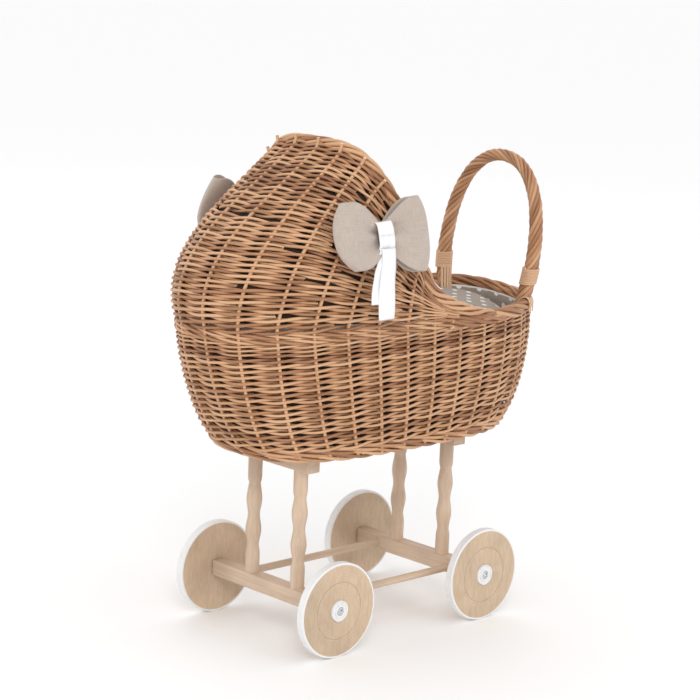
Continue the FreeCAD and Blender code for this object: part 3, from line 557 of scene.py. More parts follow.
# ---- woven base ---------------------------------------------------------------------
# The oval base: stout sticks laid across, with thin rods woven over and under them and
# cut off where they reach the wall. It is screwed down to the battens.
BASE_STICK_RADIUS = 0.0028
BASE_STICK_GAP = 0.030
BASE_ROD_RADIUS = 0.0017
BASE_ROD_PITCH = 0.0036
BASE_SHORT_ALONG, BASE_SHORT_ACROSS = 0.006, 0.005   # its sticks and rods end this far inside its edge
base_centre_x = FLOOR_SHIFT
base_half_length = floor_high.x - base_centre_x - BASE_SHORT_ALONG
base_half_width = floor_high.y - BASE_SHORT_ACROSS
base_middle_z = (floor_z + floor_top) / 2


def base_reach(offset, half_across, half_along):
    """How far the base reaches at an offset from its middle line."""
    share = min(1.0, abs(offset) / half_across)
    return half_along * (1 - share ** FLOOR_POWER) ** (1 / FLOOR_POWER)


base_runs = []
stick_count = int(base_half_length / BASE_STICK_GAP)
for number in range(-stick_count, stick_count + 1):
    x = number * BASE_STICK_GAP
    reach = base_reach(x, base_half_length, base_half_width)
    line = np.linspace(-reach, reach, 12)
    centres = np.stack([base_centre_x + x + 0 * line, line, base_middle_z + 0 * line], -1)
    base_runs.append((centres, np.tile(UPRIGHT, (12, 1)), BASE_STICK_RADIUS, tone_of_rod(), 0.8))
rod_count = int(base_half_width / BASE_ROD_PITCH)
for number in range(-rod_count, rod_count + 1):
    y = number * BASE_ROD_PITCH
    reach = base_reach(y, base_half_width, base_half_length)
    if reach < BASE_STICK_GAP:
        continue
    line = np.linspace(-reach, reach, 8 * int(2 * reach / BASE_STICK_GAP) + 2)
    wave = np.cos(math.pi * (line / BASE_STICK_GAP + number)) * (BASE_STICK_RADIUS * 0.8)
    centres = np.stack([base_centre_x + line, y + 0 * line, base_middle_z + wave], -1)
    base_runs.append((centres, np.tile(UPRIGHT, (len(line), 1)), BASE_ROD_RADIUS, tone_of_rod(), 0.9))
fixed(rod_mesh("base_weave", base_runs, buff_willow, sides=6), "willow", "basket_floor")


# ---- woven hood -------------------------------------------------------------------------
# The stakes of the head end carry on up and over to the mouth of the hood. Paired rods
# fan out from the two corners, and short rows are let in where the hood grows deeper.
HOOD_RISE = 0.220
ARCH_HALF_WIDTH = 0.1249
ARCH_POWER = 3.54
ARCH_TOP_X = -0.0861
ARCH_LEAN = 0.52
ARCH_FOOT = 0.045
HOOD_FLARE, HOOD_PITCH = math.radians(18.35), math.radians(42.6)
STAKE_REACH_LOW, STAKE_REACH_HIGH = 0.375, 0.319
THINNEST_ROD = 0.00125
HOOD_ROW_PITCH = 0.0080
CORNER_ROW_PITCH = 0.0044
FEWEST_ROWS = 11
BLEND_GAPS = 2.2                  # stake gaps over which a short row thins out and its neighbours close up
CORNER_SHARE = 0.012
CORNER_REACH = 0.20               # share of the hood over which the rows open out from a corner
LET_IN = 1.6                      # a short row comes in as this many rows' room is gained
MOUTH_SETBACK = 0.0065            # the weave stops this far short of the mouth's outer edge


def arch_point(share):
    """Outer edge of the hood's mouth; share runs from 0 (left corner) to 1 (right corner)."""
    c, s = np.cos(math.pi * share), np.sin(math.pi * share)
    size = (np.abs(c) ** ARCH_POWER + np.abs(s) ** ARCH_POWER) ** (1 / ARCH_POWER)
    z = rim_z + HOOD_RISE * s / size
    sweep = np.maximum(0.0, (rim_z + ARCH_FOOT - z) / ARCH_FOOT)
    x = ARCH_TOP_X + ARCH_LEAN * (rim_z + HOOD_RISE - z) + ARCH_FOOT * sweep ** 2
    return np.stack([x, -ARCH_HALF_WIDTH * c / size, z], -1)


corner_x = float(arch_point(np.array(0.0))[0])
half_ring = np.linspace(0, math.pi, 4001)
corner_angle = float(np.interp(-corner_x, -wall_point(half_ring, rim_z, 0.0)[:, 0], half_ring))


def rim_point(share):
    """Outer rim at the head end, from the left corner round to the right one."""
    angle = -corner_angle - (2 * math.pi - 2 * corner_angle) * share
    before, after = wall_point(angle - 0.001, rim_z, 0.0), wall_point(angle + 0.001, rim_z, 0.0)
    outward = unit(np.cross(after - before, UPRIGHT))
    return wall_point(angle, rim_z, 0.0), outward


def hood_point(share, climb):
    """A point of the hood: share goes round it, climb goes from the rim to the arch."""
    rim, outward = rim_point(share)
    arch = arch_point(share)
    chord = np.linalg.norm(arch - rim, axis=-1, keepdims=True)
    steep = outward * math.sin(HOOD_FLARE) + np.array([0.0, 0.0, math.cos(HOOD_FLARE)])
    low = rim + steep * (STAKE_REACH_LOW * chord)
    high = arch - np.array([math.cos(HOOD_PITCH), 0.0, math.sin(HOOD_PITCH)]) * (STAKE_REACH_HIGH * chord)
    climb = (climb + 0 * share)[..., None]
    back = 1 - climb
    return rim * back ** 3 + low * 3 * back ** 2 * climb + high * 3 * back * climb ** 2 + arch * climb ** 3


def station_share(station):
    return (2 * math.pi - station_angle(station) - corner_angle) / (2 * math.pi - 2 * corner_angle)


def hood_surface(station, climb, depth=WALL_MIDDLE):
    """Points of the hood with their outward and upward directions."""
    share, small = station_share(station), 0.004
    climb = climb + 0 * share
    along = hood_point(np.clip(share - small, 0, 1), climb) - hood_point(np.clip(share + small, 0, 1), climb)
    up = unit(hood_point(share, climb + small) - hood_point(share, climb - small))
    outward = unit(np.cross(along, up))
    return hood_point(share, climb) - outward * depth, outward, up


many = np.linspace(0, 2 * STAKE_COUNT, 20001)
shares = station_share(many)
in_hood = many[(shares > CORNER_SHARE) & (shares < 1 - CORNER_SHARE)]
first_station = math.ceil(in_hood.min() * STEPS_PER_GAP) / STEPS_PER_GAP
last_station = math.floor(in_hood.max() * STEPS_PER_GAP) / STEPS_PER_GAP
hood_stations = np.arange(first_station, last_station + 0.001, 1 / STEPS_PER_GAP)
hood_shares = station_share(hood_stations)
climbs = np.linspace(0, 1, 25)
stake_lines = np.stack([hood_point(hood_shares, climb) for climb in climbs])
stake_lengths = np.linalg.norm(np.diff(stake_lines, axis=0), axis=2).sum(0)
from_corner = np.minimum(hood_shares, 1 - hood_shares)
ease = np.clip(from_corner / CORNER_REACH, 0, 1)
row_pitch = CORNER_ROW_PITCH + (HOOD_ROW_PITCH - CORNER_ROW_PITCH) * ease * ease * (3 - 2 * ease)
wanted_rows = np.maximum(FEWEST_ROWS, stake_lengths / row_pitch)
row_count = int(wanted_rows.max())
GOLDEN = 0.6180339887
let_in_order = np.argsort(np.argsort([(number * GOLDEN) % 1.0 for number in range(row_count)]))
presence = np.clip((wanted_rows[None, :] - let_in_order[:, None]) / LET_IN, 0, 1)
presence[let_in_order < FEWEST_ROWS] = 1.0
window = np.hanning(2 * int(BLEND_GAPS * STEPS_PER_GAP) + 1)
window /= window.sum()
padded_presence = np.pad(presence, ((0, 0), (len(window) // 2,) * 2), mode="edge")
presence = np.stack([np.convolve(row, window, mode="valid") for row in padded_presence])
total = presence.sum(0)
row_climbs = (np.cumsum(presence, axis=0) - presence / 2) / total
row_climbs *= 1 - MOUTH_SETBACK / np.maximum(stake_lengths, 0.03)
hood_runs = []
for number in range(row_count):
    there = np.flatnonzero(presence[number] > 0.5)
    if len(there) < 2 * STEPS_PER_GAP:
        continue
    stations, climb = hood_stations[there], row_climbs[number][there]
    pitch = (stake_lengths * presence[number] / total)[there]
    lift = pitch / 4
    thickness = np.clip(pitch / 4 * 1.02, THINNEST_ROD, ROD_RADIUS)
    hood_runs += paired_rods(hood_surface, stations, climb, lift, thickness)
middle_run = len(hood_runs) // 2
fixed(rod_mesh("hood_weave_lower", hood_runs[:middle_run], buff_willow), "willow", "hood_shell")
fixed(rod_mesh("hood_weave_upper", hood_runs[middle_run:], buff_willow), "willow", "hood_shell")

# The stakes' cut ends turn over the border: steps up and steps out from the last point.
STAKE_END_UP, STAKE_END_OUT = np.array([[-0.012], [-0.004], [0.0]]), np.array([[0.0], [0.0040], [0.0085]])
stake_runs, stake_end_runs = [], []
for stake in range(STAKE_COUNT):
    heights = np.linspace(floor_z + 0.003, rim_z, 26)
    centres, outward, up = wall_surface(stake + 0 * heights, heights, STAKE_DEPTH)
    station, share = stake, float(station_share(stake))
    if not 0.02 < share < 0.98:
        station, share = stake + STAKE_COUNT, float(station_share(stake + STAKE_COUNT))
    if 0.02 < share < 0.98:
        climb = np.linspace(0.01, 0.985, 30)
        upper, upper_out, upper_up = hood_surface(station + 0 * climb, climb, STAKE_DEPTH)
        centres, outward = np.concatenate([centres[:-1], upper]), np.concatenate([outward[:-1], upper_out])
        end = upper[-1] + upper_up[-1] * STAKE_END_UP + upper_out[-1] * STAKE_END_OUT
        if 0.10 < share < 0.90:
            stake_end_runs.append((end, np.tile(upper_out[-1], (3, 1)), STAKE_RADIUS * 0.9, 0.9, 1.0))
    else:
        centres, outward = centres[:-2], outward[:-2]
    stake_runs.append((centres, outward, STAKE_RADIUS, random.uniform(0.75, 1.0), 0.95))
fixed(rod_mesh("stakes", stake_runs, buff_willow), "willow", "basket_wall", "hood_shell")
fixed(rod_mesh("stake_ends", stake_end_runs, buff_willow), "willow", "hood_border")


# ---- plaited borders ----------------------------------------------------------------------
# The foot end's rim and the hood's mouth are closed with long rods laid over one another.
# The mouth's rods come down at the corners and run on into the foot end's border.
BORDER_ROD_RADIUS = 0.0026
MOUTH_HALF_ACROSS, MOUTH_HALF_OUT = 0.0062, 0.0041
FOOT_HALF_UP, FOOT_HALF_OUT = 0.0072, 0.0047
CORE_ROD_RADIUS = 0.0024
BORDER_DEPTH = 0.0045             # the border's middle inside the wall's outer face
MOUTH_DEPTH = 0.0066
FOOT_TWIST, MOUTH_TWIST = 0.185, 0.130   # length in which a border rod goes once round
BORDER_RISE, BORDER_DROOP = 0.0020, 0.0085
RUN_ON = 0.100                    # how far the mouth's rods run on along the rim


def border_z(y):
    """Height of the border's middle; the basket's left edge was beaten down a little lower."""
    lowered = 0.5 - 0.5 * np.sin(np.clip(y / (0.8 * half_width), -1, 1) * math.pi / 2)
    return rim_z + BORDER_RISE - BORDER_DROOP * lowered


def softened(points):
    """The inner points of a line, each drawn towards its two neighbours."""
    return (points[:-2] + 2 * points[1:-1] + points[2:]) / 4


foot_angles = np.linspace(-corner_angle - 0.10, corner_angle + 0.10, 220)
foot_centres = wall_point(foot_angles, rim_z, BORDER_DEPTH)
foot_centres[:, 2] = border_z(foot_centres[:, 1])
foot_along = unit(np.gradient(foot_centres, axis=0))
foot_outward = unit(np.cross(foot_along, UPRIGHT))
foot_turns = -lengths_along(foot_centres) / FOOT_TWIST
foot_runs = twisted_rods(foot_centres, foot_outward, foot_turns, 6, FOOT_HALF_UP, FOOT_HALF_OUT,
                         BORDER_ROD_RADIUS)
foot_runs += twisted_rods(foot_centres, foot_outward, foot_turns + 0.1, 3, 0.003, 0.0015, CORE_ROD_RADIUS)
fixed(rod_mesh("foot_border_rods", foot_runs, buff_willow), "willow", "foot_border")

arch_shares = np.linspace(0.004, 0.996, 181)
arch_line = arch_point(arch_shares)
arch_along = unit(np.gradient(arch_line, axis=0))
arch_forward = unit(np.array([1.0, 0.0, ARCH_LEAN]))
arch_outward = unit(np.cross(arch_forward, arch_along))
arch_outward *= np.sign((arch_outward * (arch_line - [ARCH_TOP_X, 0, rim_z])).sum(1))[:, None]
arch_centres = arch_line - arch_outward * MOUTH_DEPTH
run_on_steps = np.linspace(0.0, 1.0, 22)[1:]
lead_in, lead_out, lead_in_outward, lead_out_outward = [], [], [], []
for step in run_on_steps:
    swept = RUN_ON * step / half_width / 1.35
    for sign, centres, outwards in ((-1, lead_in, lead_in_outward), (1, lead_out, lead_out_outward)):
        angle = np.array(sign * (corner_angle - swept * 0.8))
        point = wall_point(angle, rim_z, 0.0018 + 0.0040 * step)
        joined = min(1.0, 1.6 * step)
        point[2] = (rim_z + 0.0050) * (1 - joined) + (border_z(point[1]) - 0.002) * joined
        centres.append(point)
        side_on = unit(wall_point(angle + 0.001, rim_z, 0.0) - wall_point(angle - 0.001, rim_z, 0.0))
        outwards.append(np.cross(side_on, UPRIGHT))
mouth_centres = np.concatenate([lead_in[::-1], arch_centres[6:-6], lead_out])
mouth_outward = unit(np.concatenate([lead_in_outward[::-1], arch_outward[6:-6], lead_out_outward]))
for _ in range(6):
    mouth_centres[1:-1] = softened(mouth_centres)
    mouth_outward[1:-1] = unit(softened(mouth_outward))
mouth_lengths = lengths_along(mouth_centres)
near_end = np.minimum(mouth_lengths, mouth_lengths[-1] - mouth_lengths)
mouth_taper = 0.12 + 0.88 * np.clip(near_end / RUN_ON, 0, 1)
mouth_turns = mouth_lengths / MOUTH_TWIST
mouth_runs = twisted_rods(mouth_centres, mouth_outward, mouth_turns, 5, MOUTH_HALF_ACROSS,
                          MOUTH_HALF_OUT, BORDER_ROD_RADIUS, mouth_taper)
mouth_runs += twisted_rods(mouth_centres, mouth_outward, mouth_turns + 0.2, 2, 0.0022, 0.001, CORE_ROD_RADIUS,
                           mouth_taper)
fixed(rod_mesh("hood_border_rods", mouth_runs, buff_willow), "willow", "hood_border")


# ---- push handle ----------------------------------------------------------------------------
# A hoop of one stout rod with a rope of eight thinner ones twisted right-handed round it.
# The legs go down inside the rim, bound with split willow and lashed over the border.
HANDLE_FOOT_Z = 0.435
HANDLE_WIDEST_Z = 0.461
HANDLE_LEAN = 0.15
HANDLE_HALF_WIDTH = 0.0794
HANDLE_TUCK, TUCK_SPAN = 0.0133, 0.080
HANDLE_POWER = 2.2
ROPE_ROD_RADIUS = 0.0026
ROPE_RADIUS = 0.0070
ROPE_TWIST = 0.088                # handle length in which a rope rod goes once round
CORE_RADIUS = 0.0052
SLIM_FROM_Z, SLIM_SHARE = 0.45, 0.16   # the hoop grows slimmer from here to its top
HANDLE_FOOT_X = 0.2294
handle_top_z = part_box("handle_hoop")[1].z - 0.0103


def leg_middle(z, sign=1):
    """Middle line of a leg, at heights below the hoop's widest place."""
    tuck = HANDLE_TUCK * np.maximum(0, (HANDLE_WIDEST_Z - z) / TUCK_SPAN) ** 2
    x = HANDLE_FOOT_X + HANDLE_LEAN * (z - HANDLE_FOOT_Z)
    return np.stack([x, sign * (HANDLE_HALF_WIDTH - tuck), z], -1)


leg_z = np.linspace(rim_z - 0.006, HANDLE_WIDEST_Z, 24)
leg_y = leg_middle(leg_z)[:, 1]
bow_angle = np.linspace(0, math.pi, 122)[1:-1]
c, s = np.cos(bow_angle), np.sin(bow_angle)
oval_size = (np.abs(c) ** HANDLE_POWER + s ** HANDLE_POWER) ** (1 / HANDLE_POWER)
hoop_y = np.concatenate([-leg_y, -HANDLE_HALF_WIDTH * c / oval_size, leg_y[::-1]])
bow_z = HANDLE_WIDEST_Z + (handle_top_z - HANDLE_WIDEST_Z) * s / oval_size
hoop_z = np.concatenate([leg_z, bow_z, leg_z[::-1]])
hoop_line = np.stack([HANDLE_FOOT_X + HANDLE_LEAN * (hoop_z - HANDLE_FOOT_Z), hoop_y, hoop_z], -1)
hoop_gaps = lengths_along(hoop_line)
even = np.linspace(0, hoop_gaps[-1], 320)
hoop_line = np.stack([np.interp(even, hoop_gaps, hoop_line[:, axis]) for axis in range(3)], -1)
for _ in range(4):
    hoop_line[1:-1] = softened(hoop_line)
hoop_tangent = unit(np.gradient(hoop_line, axis=0))
hoop_side = unit(np.cross(hoop_tangent, np.array([1.0, 0.0, HANDLE_LEAN])))
hoop_face = np.cross(hoop_side, hoop_tangent)
up_the_hoop = np.clip((hoop_line[:, 2] - SLIM_FROM_Z) / (handle_top_z - SLIM_FROM_Z), 0, 1)
slimming = 1 - SLIM_SHARE * up_the_hoop
rope_runs = [(hoop_line, hoop_face, CORE_RADIUS * slimming, 0.1, 1.0)]
for rod in range(8):
    swing = 2 * math.pi * (even / ROPE_TWIST + rod / 8)
    beside = np.cross(hoop_tangent, hoop_face)
    radial = hoop_face * np.cos(swing)[:, None] + beside * np.sin(swing)[:, None]
    wobble = 1 + 0.03 * np.sin(even * random.uniform(30, 60) + random.uniform(0, 6.28))
    path = hoop_line + radial * (ROPE_RADIUS * slimming * wobble)[:, None]
    thickness = ROPE_ROD_RADIUS * slimming * random.uniform(0.94, 1.10)
    rope_runs.append((path, radial, thickness, tone_of_rod(), 1.0))
fixed(rod_mesh("handle_rope", rope_runs, buff_willow), "willow", "handle_hoop")

SKEIN_PALE, SKEIN_MID = (0.72, 0.47, 0.29, 1), (0.56, 0.32, 0.18, 1)
SKEIN_RED = (0.43, 0.215, 0.11, 1)
split_willow = willow("split willow", SKEIN_PALE, SKEIN_MID, SKEIN_RED)
BINDING_TURNS = 9.5
COIL_RADIUS, SKEIN_RADIUS = 0.0106, 0.00125
for side in SIDES:
    sign = -1 if side == "left" else 1
    low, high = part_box("handle_binding_" + side)
    wound = np.linspace(0, 1, 260)
    z = low.z + 0.0012 + (high.z - low.z - 0.0024) * wound
    swing = 2 * math.pi * BINDING_TURNS * wound
    radial = np.stack([np.cos(swing), np.sin(swing), 0 * swing], -1)
    coil = (leg_middle(z, sign) + radial * COIL_RADIUS, radial, SKEIN_RADIUS, 0.75, 0.8)
    wound_coil = rod_mesh("handle_binding_coil_" + side, [coil], split_willow)
    fixed(wound_coil, "willow_skein", "handle_binding_" + side)

LASH_HALF_OUT, LASH_HALF_UP = 0.0086, 0.0112
STRIP_HALF_WIDTH, STRIP_FLATNESS = 0.0019, 0.34
LASHED_AT = 0.0745                # distance of the lashings from the basket's middle line
# Each strip: where it starts inside, where it ends outside, how far it hangs inside and outside.
LEFT_STRIPS = ((-0.030, 0.004, 0.004, 0.006), (-0.024, 0.009, 0.004, 0.010), (-0.006, -0.020, 0.006, 0.006),
               (0.000, -0.014, 0.006, 0.010), (0.008, 0.012, 0.008, 0.008))
RIGHT_STRIP_PLACES = (-0.006, -0.002, 0.002, 0.006)
LEG_STRIP_TURNS = (-146, -124, -102, -80, -58)
LEG_STRIP_RADIUS = 0.0108


def strip_over_border(y, start, end, low_inside, low_outside):
    """One strip over the border near a leg, from a place along it inside to another outside."""
    angles = np.linspace(-0.9, 0.9, 721)
    at = angles[np.argmin(np.abs(wall_point(angles, rim_z, BORDER_DEPTH)[:, 1] - y))]
    scale = np.linalg.norm(wall_point(at + 0.01, rim_z, 0.0) - wall_point(at - 0.01, rim_z, 0.0)) / 0.02
    turn = np.linspace(0, 1, 34)
    angle = at + (start + (end - start) * turn) / scale
    over = math.pi * np.clip((turn - 0.2) / 0.6, 0, 1)
    base = wall_point(angle, rim_z, BORDER_DEPTH)
    ahead = wall_point(angle + 0.002, rim_z, BORDER_DEPTH)
    behind = wall_point(angle - 0.002, rim_z, BORDER_DEPTH)
    outward = unit(np.cross(ahead - behind, UPRIGHT))
    path = base - outward * (LASH_HALF_OUT * np.cos(over))[:, None]
    path[:, 2] = border_z(base[:, 1]) + LASH_HALF_UP * np.sin(over)
    path[:, 2] -= low_inside * np.clip(1 - turn / 0.2, 0, 1) + low_outside * np.clip((turn - 0.8) / 0.2, 0, 1)
    facing = -outward * np.cos(over)[:, None] + UPRIGHT * np.sin(over)[:, None]
    return path, facing, STRIP_HALF_WIDTH, random.uniform(0.75, 1.0), STRIP_FLATNESS


left_strips = [strip_over_border(-LASHED_AT, *strip) for strip in LEFT_STRIPS]
right_strips = [strip_over_border(LASHED_AT, along, along, 0.008, 0.008) for along in RIGHT_STRIP_PLACES]
leg_centre = leg_middle(np.linspace(0.4300, 0.3945, 16))
for turn in LEG_STRIP_TURNS:
    radial = np.array([math.cos(math.radians(turn)), math.sin(math.radians(turn)), 0.0])
    strip_line = leg_centre + radial * LEG_STRIP_RADIUS
    facings = np.tile(radial, (len(leg_centre), 1))
    right_strips.append((strip_line, facings, STRIP_HALF_WIDTH, random.uniform(0.6, 1.0), STRIP_FLATNESS))
for side, strips in (("left", left_strips), ("right", right_strips)):
    lashing = rod_mesh("handle_lashing_strips_" + side, strips, split_willow)
    fixed(lashing, "willow_skein", "handle_lashing_" + side)


# ---- cotton liner, hood lining and quilt ------------------------------------------------------
# Taupe cotton printed with white dots. The liner hangs inside the wall from a light hem, the
# lining follows the hood to a white bound edge, and a plump quilt fills the basket to the rim.
COTTON_TAUPE = (0.335, 0.275, 0.225, 1)
COTTON_SHADE = (0.285, 0.23, 0.185, 1)
DOT_WHITE = (0.80, 0.78, 0.76, 1)
BINDING_WHITE, BINDING_SHADE = (0.82, 0.80, 0.77, 1), (0.74, 0.72, 0.69, 1)
# Painted shade: the cloth's back is coloured near-black brown to stand in for the shade seen through the gaps
# of the weave; the real back is the same taupe cotton.
REVERSE_PAINTED_SHADE = (0.060, 0.032, 0.018, 1)
REVERSE_PAINTED_SHADE_DEEPER = (0.040, 0.020, 0.012, 1)
DOT_GAP, DOT_RADIUS = 0.0187, 0.0033
COTTON_THREADS = 9000.0
COTTON_THICKNESS = 0.0009


def plain_weave_effect():
    """Threads of a plain weave from the cloth's own flat measure, in metres."""
    takes = [("Threads", "NodeSocketFloat", 2400.0)]
    gives = [("Height", "NodeSocketFloat"), ("Slub", "NodeSocketFloat")]
    tree, into, out = new_effect("plain weave", takes, gives)
    mark = place(tree, "ShaderNodeUVMap", uv_map="along").outputs[0]
    parts = place(tree, "ShaderNodeSeparateXYZ", {0: mark})
    warp = sums(tree, "SINE", sums(tree, "MULTIPLY", parts.outputs[0], into["Threads"]))
    weft = sums(tree, "SINE", sums(tree, "MULTIPLY", parts.outputs[1], into["Threads"]))
    cloth = sums(tree, "MULTIPLY", warp, weft)
    one = noise(tree, vector_sum(tree, "MULTIPLY", mark, (900.0, 60.0, 1.0)), 1.0, 2.0)
    two = noise(tree, vector_sum(tree, "MULTIPLY", mark, (60.0, 900.0, 1.0)), 1.0, 2.0)
    slub = sums(tree, "MULTIPLY", sums(tree, "ADD", one, two), 0.5)
    tree.links.new(sums(tree, "ADD", cloth, slub), out["Height"])
    tree.links.new(slub, out["Slub"])
    return tree


plain_weave = plain_weave_effect()


def cloth(name, colour, shade, threads, dotted=False, sheen=0.25, relief=0.7):
    """Woven cloth with slubs and soft sheen, printed with dots where asked."""
    material, tree, shader = start_material(name)
    weave = use_effect(tree, plain_weave, {"Threads": threads})
    base = mixed(tree, spread(tree, weave["Slub"], 0.35, 0.65), shade, colour)
    if dotted:
        mark = place(tree, "ShaderNodeUVMap", uv_map="along").outputs[0]
        turned = place(tree, "ShaderNodeVectorRotate", {"Vector": mark, "Angle": math.radians(45)},
                       rotation_type="Z_AXIS").outputs[0]
        limits = {0: turned, 1: (DOT_GAP,) * 3, 2: (0.0, 0.0, -1.0)}
        cell = place(tree, "ShaderNodeVectorMath", limits, operation="WRAP").outputs[0]
        middle = (DOT_GAP / 2, DOT_GAP / 2, 0.0)
        flat = vector_sum(tree, "MULTIPLY", cell, (1.0, 1.0, 0.0))
        away = place(tree, "ShaderNodeVectorMath", {0: flat, 1: middle}, operation="DISTANCE")
        dot = spread(tree, away.outputs["Value"], DOT_RADIUS * 1.06, DOT_RADIUS * 0.94)
        base = mixed(tree, dot, base, DOT_WHITE)
    tree.links.new(base, shader["Base Color"])
    tree.links.new(spread(tree, weave["Slub"], 0.3, 0.7, 0.92, 0.78), shader["Roughness"])
    shader["Sheen Weight"].default_value = sheen
    shader["Sheen Roughness"].default_value = 0.5
    raise_surface(tree, shader, weave["Height"], 0.00010, relief)
    return material


def thicken(piece, thickness):
    skin = piece.modifiers.new("thickness", "SOLIDIFY")
    skin.thickness, skin.offset = thickness, 0.0
    return skin


def joined(name, sheets, thickness):
    """Several sheets made into one piece with a real thickness."""
    bpy.ops.object.select_all(action="DESELECT")
    for sheet in sheets:
        sheet.select_set(True)
    bpy.context.view_layer.objects.active = sheets[0]
    bpy.ops.object.join()
    sheets[0].name = sheets[0].data.name = name
    thicken(sheets[0], thickness)
    return sheets[0]


def cloth_mesh(name, grid, marks, material, thickness, closed=False, reverse=None):
    """A sheet from a grid of points, with its flat measure and a real thickness."""
    rows, columns = grid.shape[:2]
    index = np.arange(rows * columns).reshape(rows, columns)
    if closed:
        index = np.concatenate([index, index[:, :1]], 1)
    quads = np.stack([index[:-1, :-1], index[:-1, 1:], index[1:, 1:], index[1:, :-1]], -1).reshape(-1, 4)
    mesh = bpy.data.meshes.new(name)
    mesh.from_pydata(grid.reshape(-1, 3).tolist(), [], quads.tolist())
    corner_marks = np.stack([marks[:-1, :-1], marks[:-1, 1:], marks[1:, 1:], marks[1:, :-1]], 2)
    mesh.uv_layers.new(name="along").data.foreach_set("uv", corner_marks.astype(np.float32).ravel())
    mesh.polygons.foreach_set("use_smooth", [True] * len(quads))
    mesh.materials.append(material)
    piece = bpy.data.objects.new(name, mesh)
    bpy.context.collection.objects.link(piece)
    if thickness:
        skin = thicken(piece, thickness)
        # The back side takes the reverse material, which is painted shade.
        if reverse:
            mesh.materials.append(reverse)
            skin.material_offset = 1
            skin.material_offset_rim = 0
    return piece


def flat_measure(grid, closed=False):
    """Distances along and across a grid of points, used as the cloth's flat measure."""
    if closed:
        grid = np.concatenate([grid, grid[:, :1]], 1)
    along = lengths_along(grid[len(grid) // 2])
    down = np.concatenate([[0.0], np.cumsum(np.linalg.norm(np.diff(grid, axis=0), axis=2).mean(1))])
    return np.stack(np.meshgrid(along, down), -1)


dotted_cotton = cloth("dotted taupe cotton", COTTON_TAUPE, COTTON_SHADE, COTTON_THREADS, dotted=True)
bound_cotton = cloth("white bias binding", BINDING_WHITE, BINDING_SHADE, COTTON_THREADS)
# Painted shade material for the back of the liner and the hood lining.
cotton_back_painted_shade = cloth("cotton back with painted shade", REVERSE_PAINTED_SHADE, REVERSE_PAINTED_SHADE_DEEPER, COTTON_THREADS)

LINER_DEPTH = 0.0112
LINER_TOP_Z, LINER_SLACK = 0.3885, 0.0125   # it hangs lowest along the basket's left side
LINER_PUCKER = 0.0009
HEM_HALF_HEIGHT, HEM_FLATNESS = 0.0019, 0.55
liner_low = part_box("basket_liner")[0].z
liner_stations = np.linspace(0, STAKE_COUNT, 281)[:-1]
liner_angles = station_angle(liner_stations)
slack = 0.5 - 0.5 * np.cos(np.clip((np.sin(liner_angles) * 0.5 + 0.62), 0, 1) * math.pi)
liner_top = LINER_TOP_Z + LINER_SLACK * slack
liner_rows = []
for down in np.linspace(0, 1, 15):
    z = liner_top + (liner_low + 0.003 - liner_top) * down
    pucker = LINER_PUCKER * np.sin(liner_stations * 5.3 + 4 * down) * (1 - 0.5 * down)
    liner_rows.append(wall_point(liner_angles, z, LINER_DEPTH + np.abs(pucker)))
for inset in (0.014, 0.030, 0.060, 0.090, 0.112):
    liner_rows.append(wall_point(liner_angles, liner_low + 0.0012, inset))
liner_grid = np.stack(liner_rows)
liner = cloth_mesh("liner", liner_grid, flat_measure(liner_grid, True), dotted_cotton, COTTON_THICKNESS,
                   closed=True, reverse=cotton_back_painted_shade)
fixed(liner, "dotted_cotton", "basket_liner")
liner_edge = wall_point(liner_angles, liner_top, LINER_DEPTH)
liner_edge = np.concatenate([liner_edge, liner_edge[:1]])
edge_out = np.concatenate([wall_surface(liner_stations, liner_top)[1]] * 2)[:len(liner_edge)]
hem = rod_mesh("liner_hem", [(liner_edge, edge_out, HEM_HALF_HEIGHT, 0.5, HEM_FLATNESS)], bound_cotton)
fixed(hem, "dotted_cotton")

LINING_DEPTH = 0.0112
LINING_RIPPLE = 0.0007
BOUND_DEPTH, BOUND_HALF_WIDTH, BOUND_FLATNESS = 0.0074, 0.0040, 0.35
BOUND_FORWARD, BOUND_FORWARD_LOW = 0.0040, 0.0100   # it stands further forward at the corners
LINING_SHORT = 0.0030             # its edge is tucked into the border this far from the mouth
lining_stations = np.linspace(first_station + 0.25, last_station - 0.25, 151)
lining_lengths = np.interp(lining_stations, hood_stations, stake_lengths)
lining_rows = []
for climb in np.linspace(0.03, 1, 31):
    top = 1 - LINING_SHORT / lining_lengths
    ripple = LINING_RIPPLE * np.abs(np.sin(lining_stations * 4.1 + 3 * climb))
    points, outward, up = hood_surface(lining_stations, climb * top)
    lining_rows.append(points - outward * (LINING_DEPTH - WALL_MIDDLE + ripple)[:, None])
lining_grid = np.stack(lining_rows[::-1])
lining = cloth_mesh("hood_lining_cloth", lining_grid, flat_measure(lining_grid), dotted_cotton,
                    COTTON_THICKNESS, reverse=cotton_back_painted_shade)
fixed(lining, "dotted_cotton", "hood_lining")
bound_out = arch_outward[7:-7]
bound_line = arch_centres[7:-7] - bound_out * BOUND_DEPTH
near_corner = np.clip((rim_z + 0.075 - bound_line[:, 2]) / 0.050, 0, 1)
bound_line += arch_forward * (BOUND_FORWARD + BOUND_FORWARD_LOW * near_corner)[:, None]
bound_run = (bound_line, bound_out, BOUND_HALF_WIDTH, 0.5, BOUND_FLATNESS)
bound_edge = rod_mesh("hood_bound_edge", [bound_run], bound_cotton)
fixed(bound_edge, "dotted_cotton")

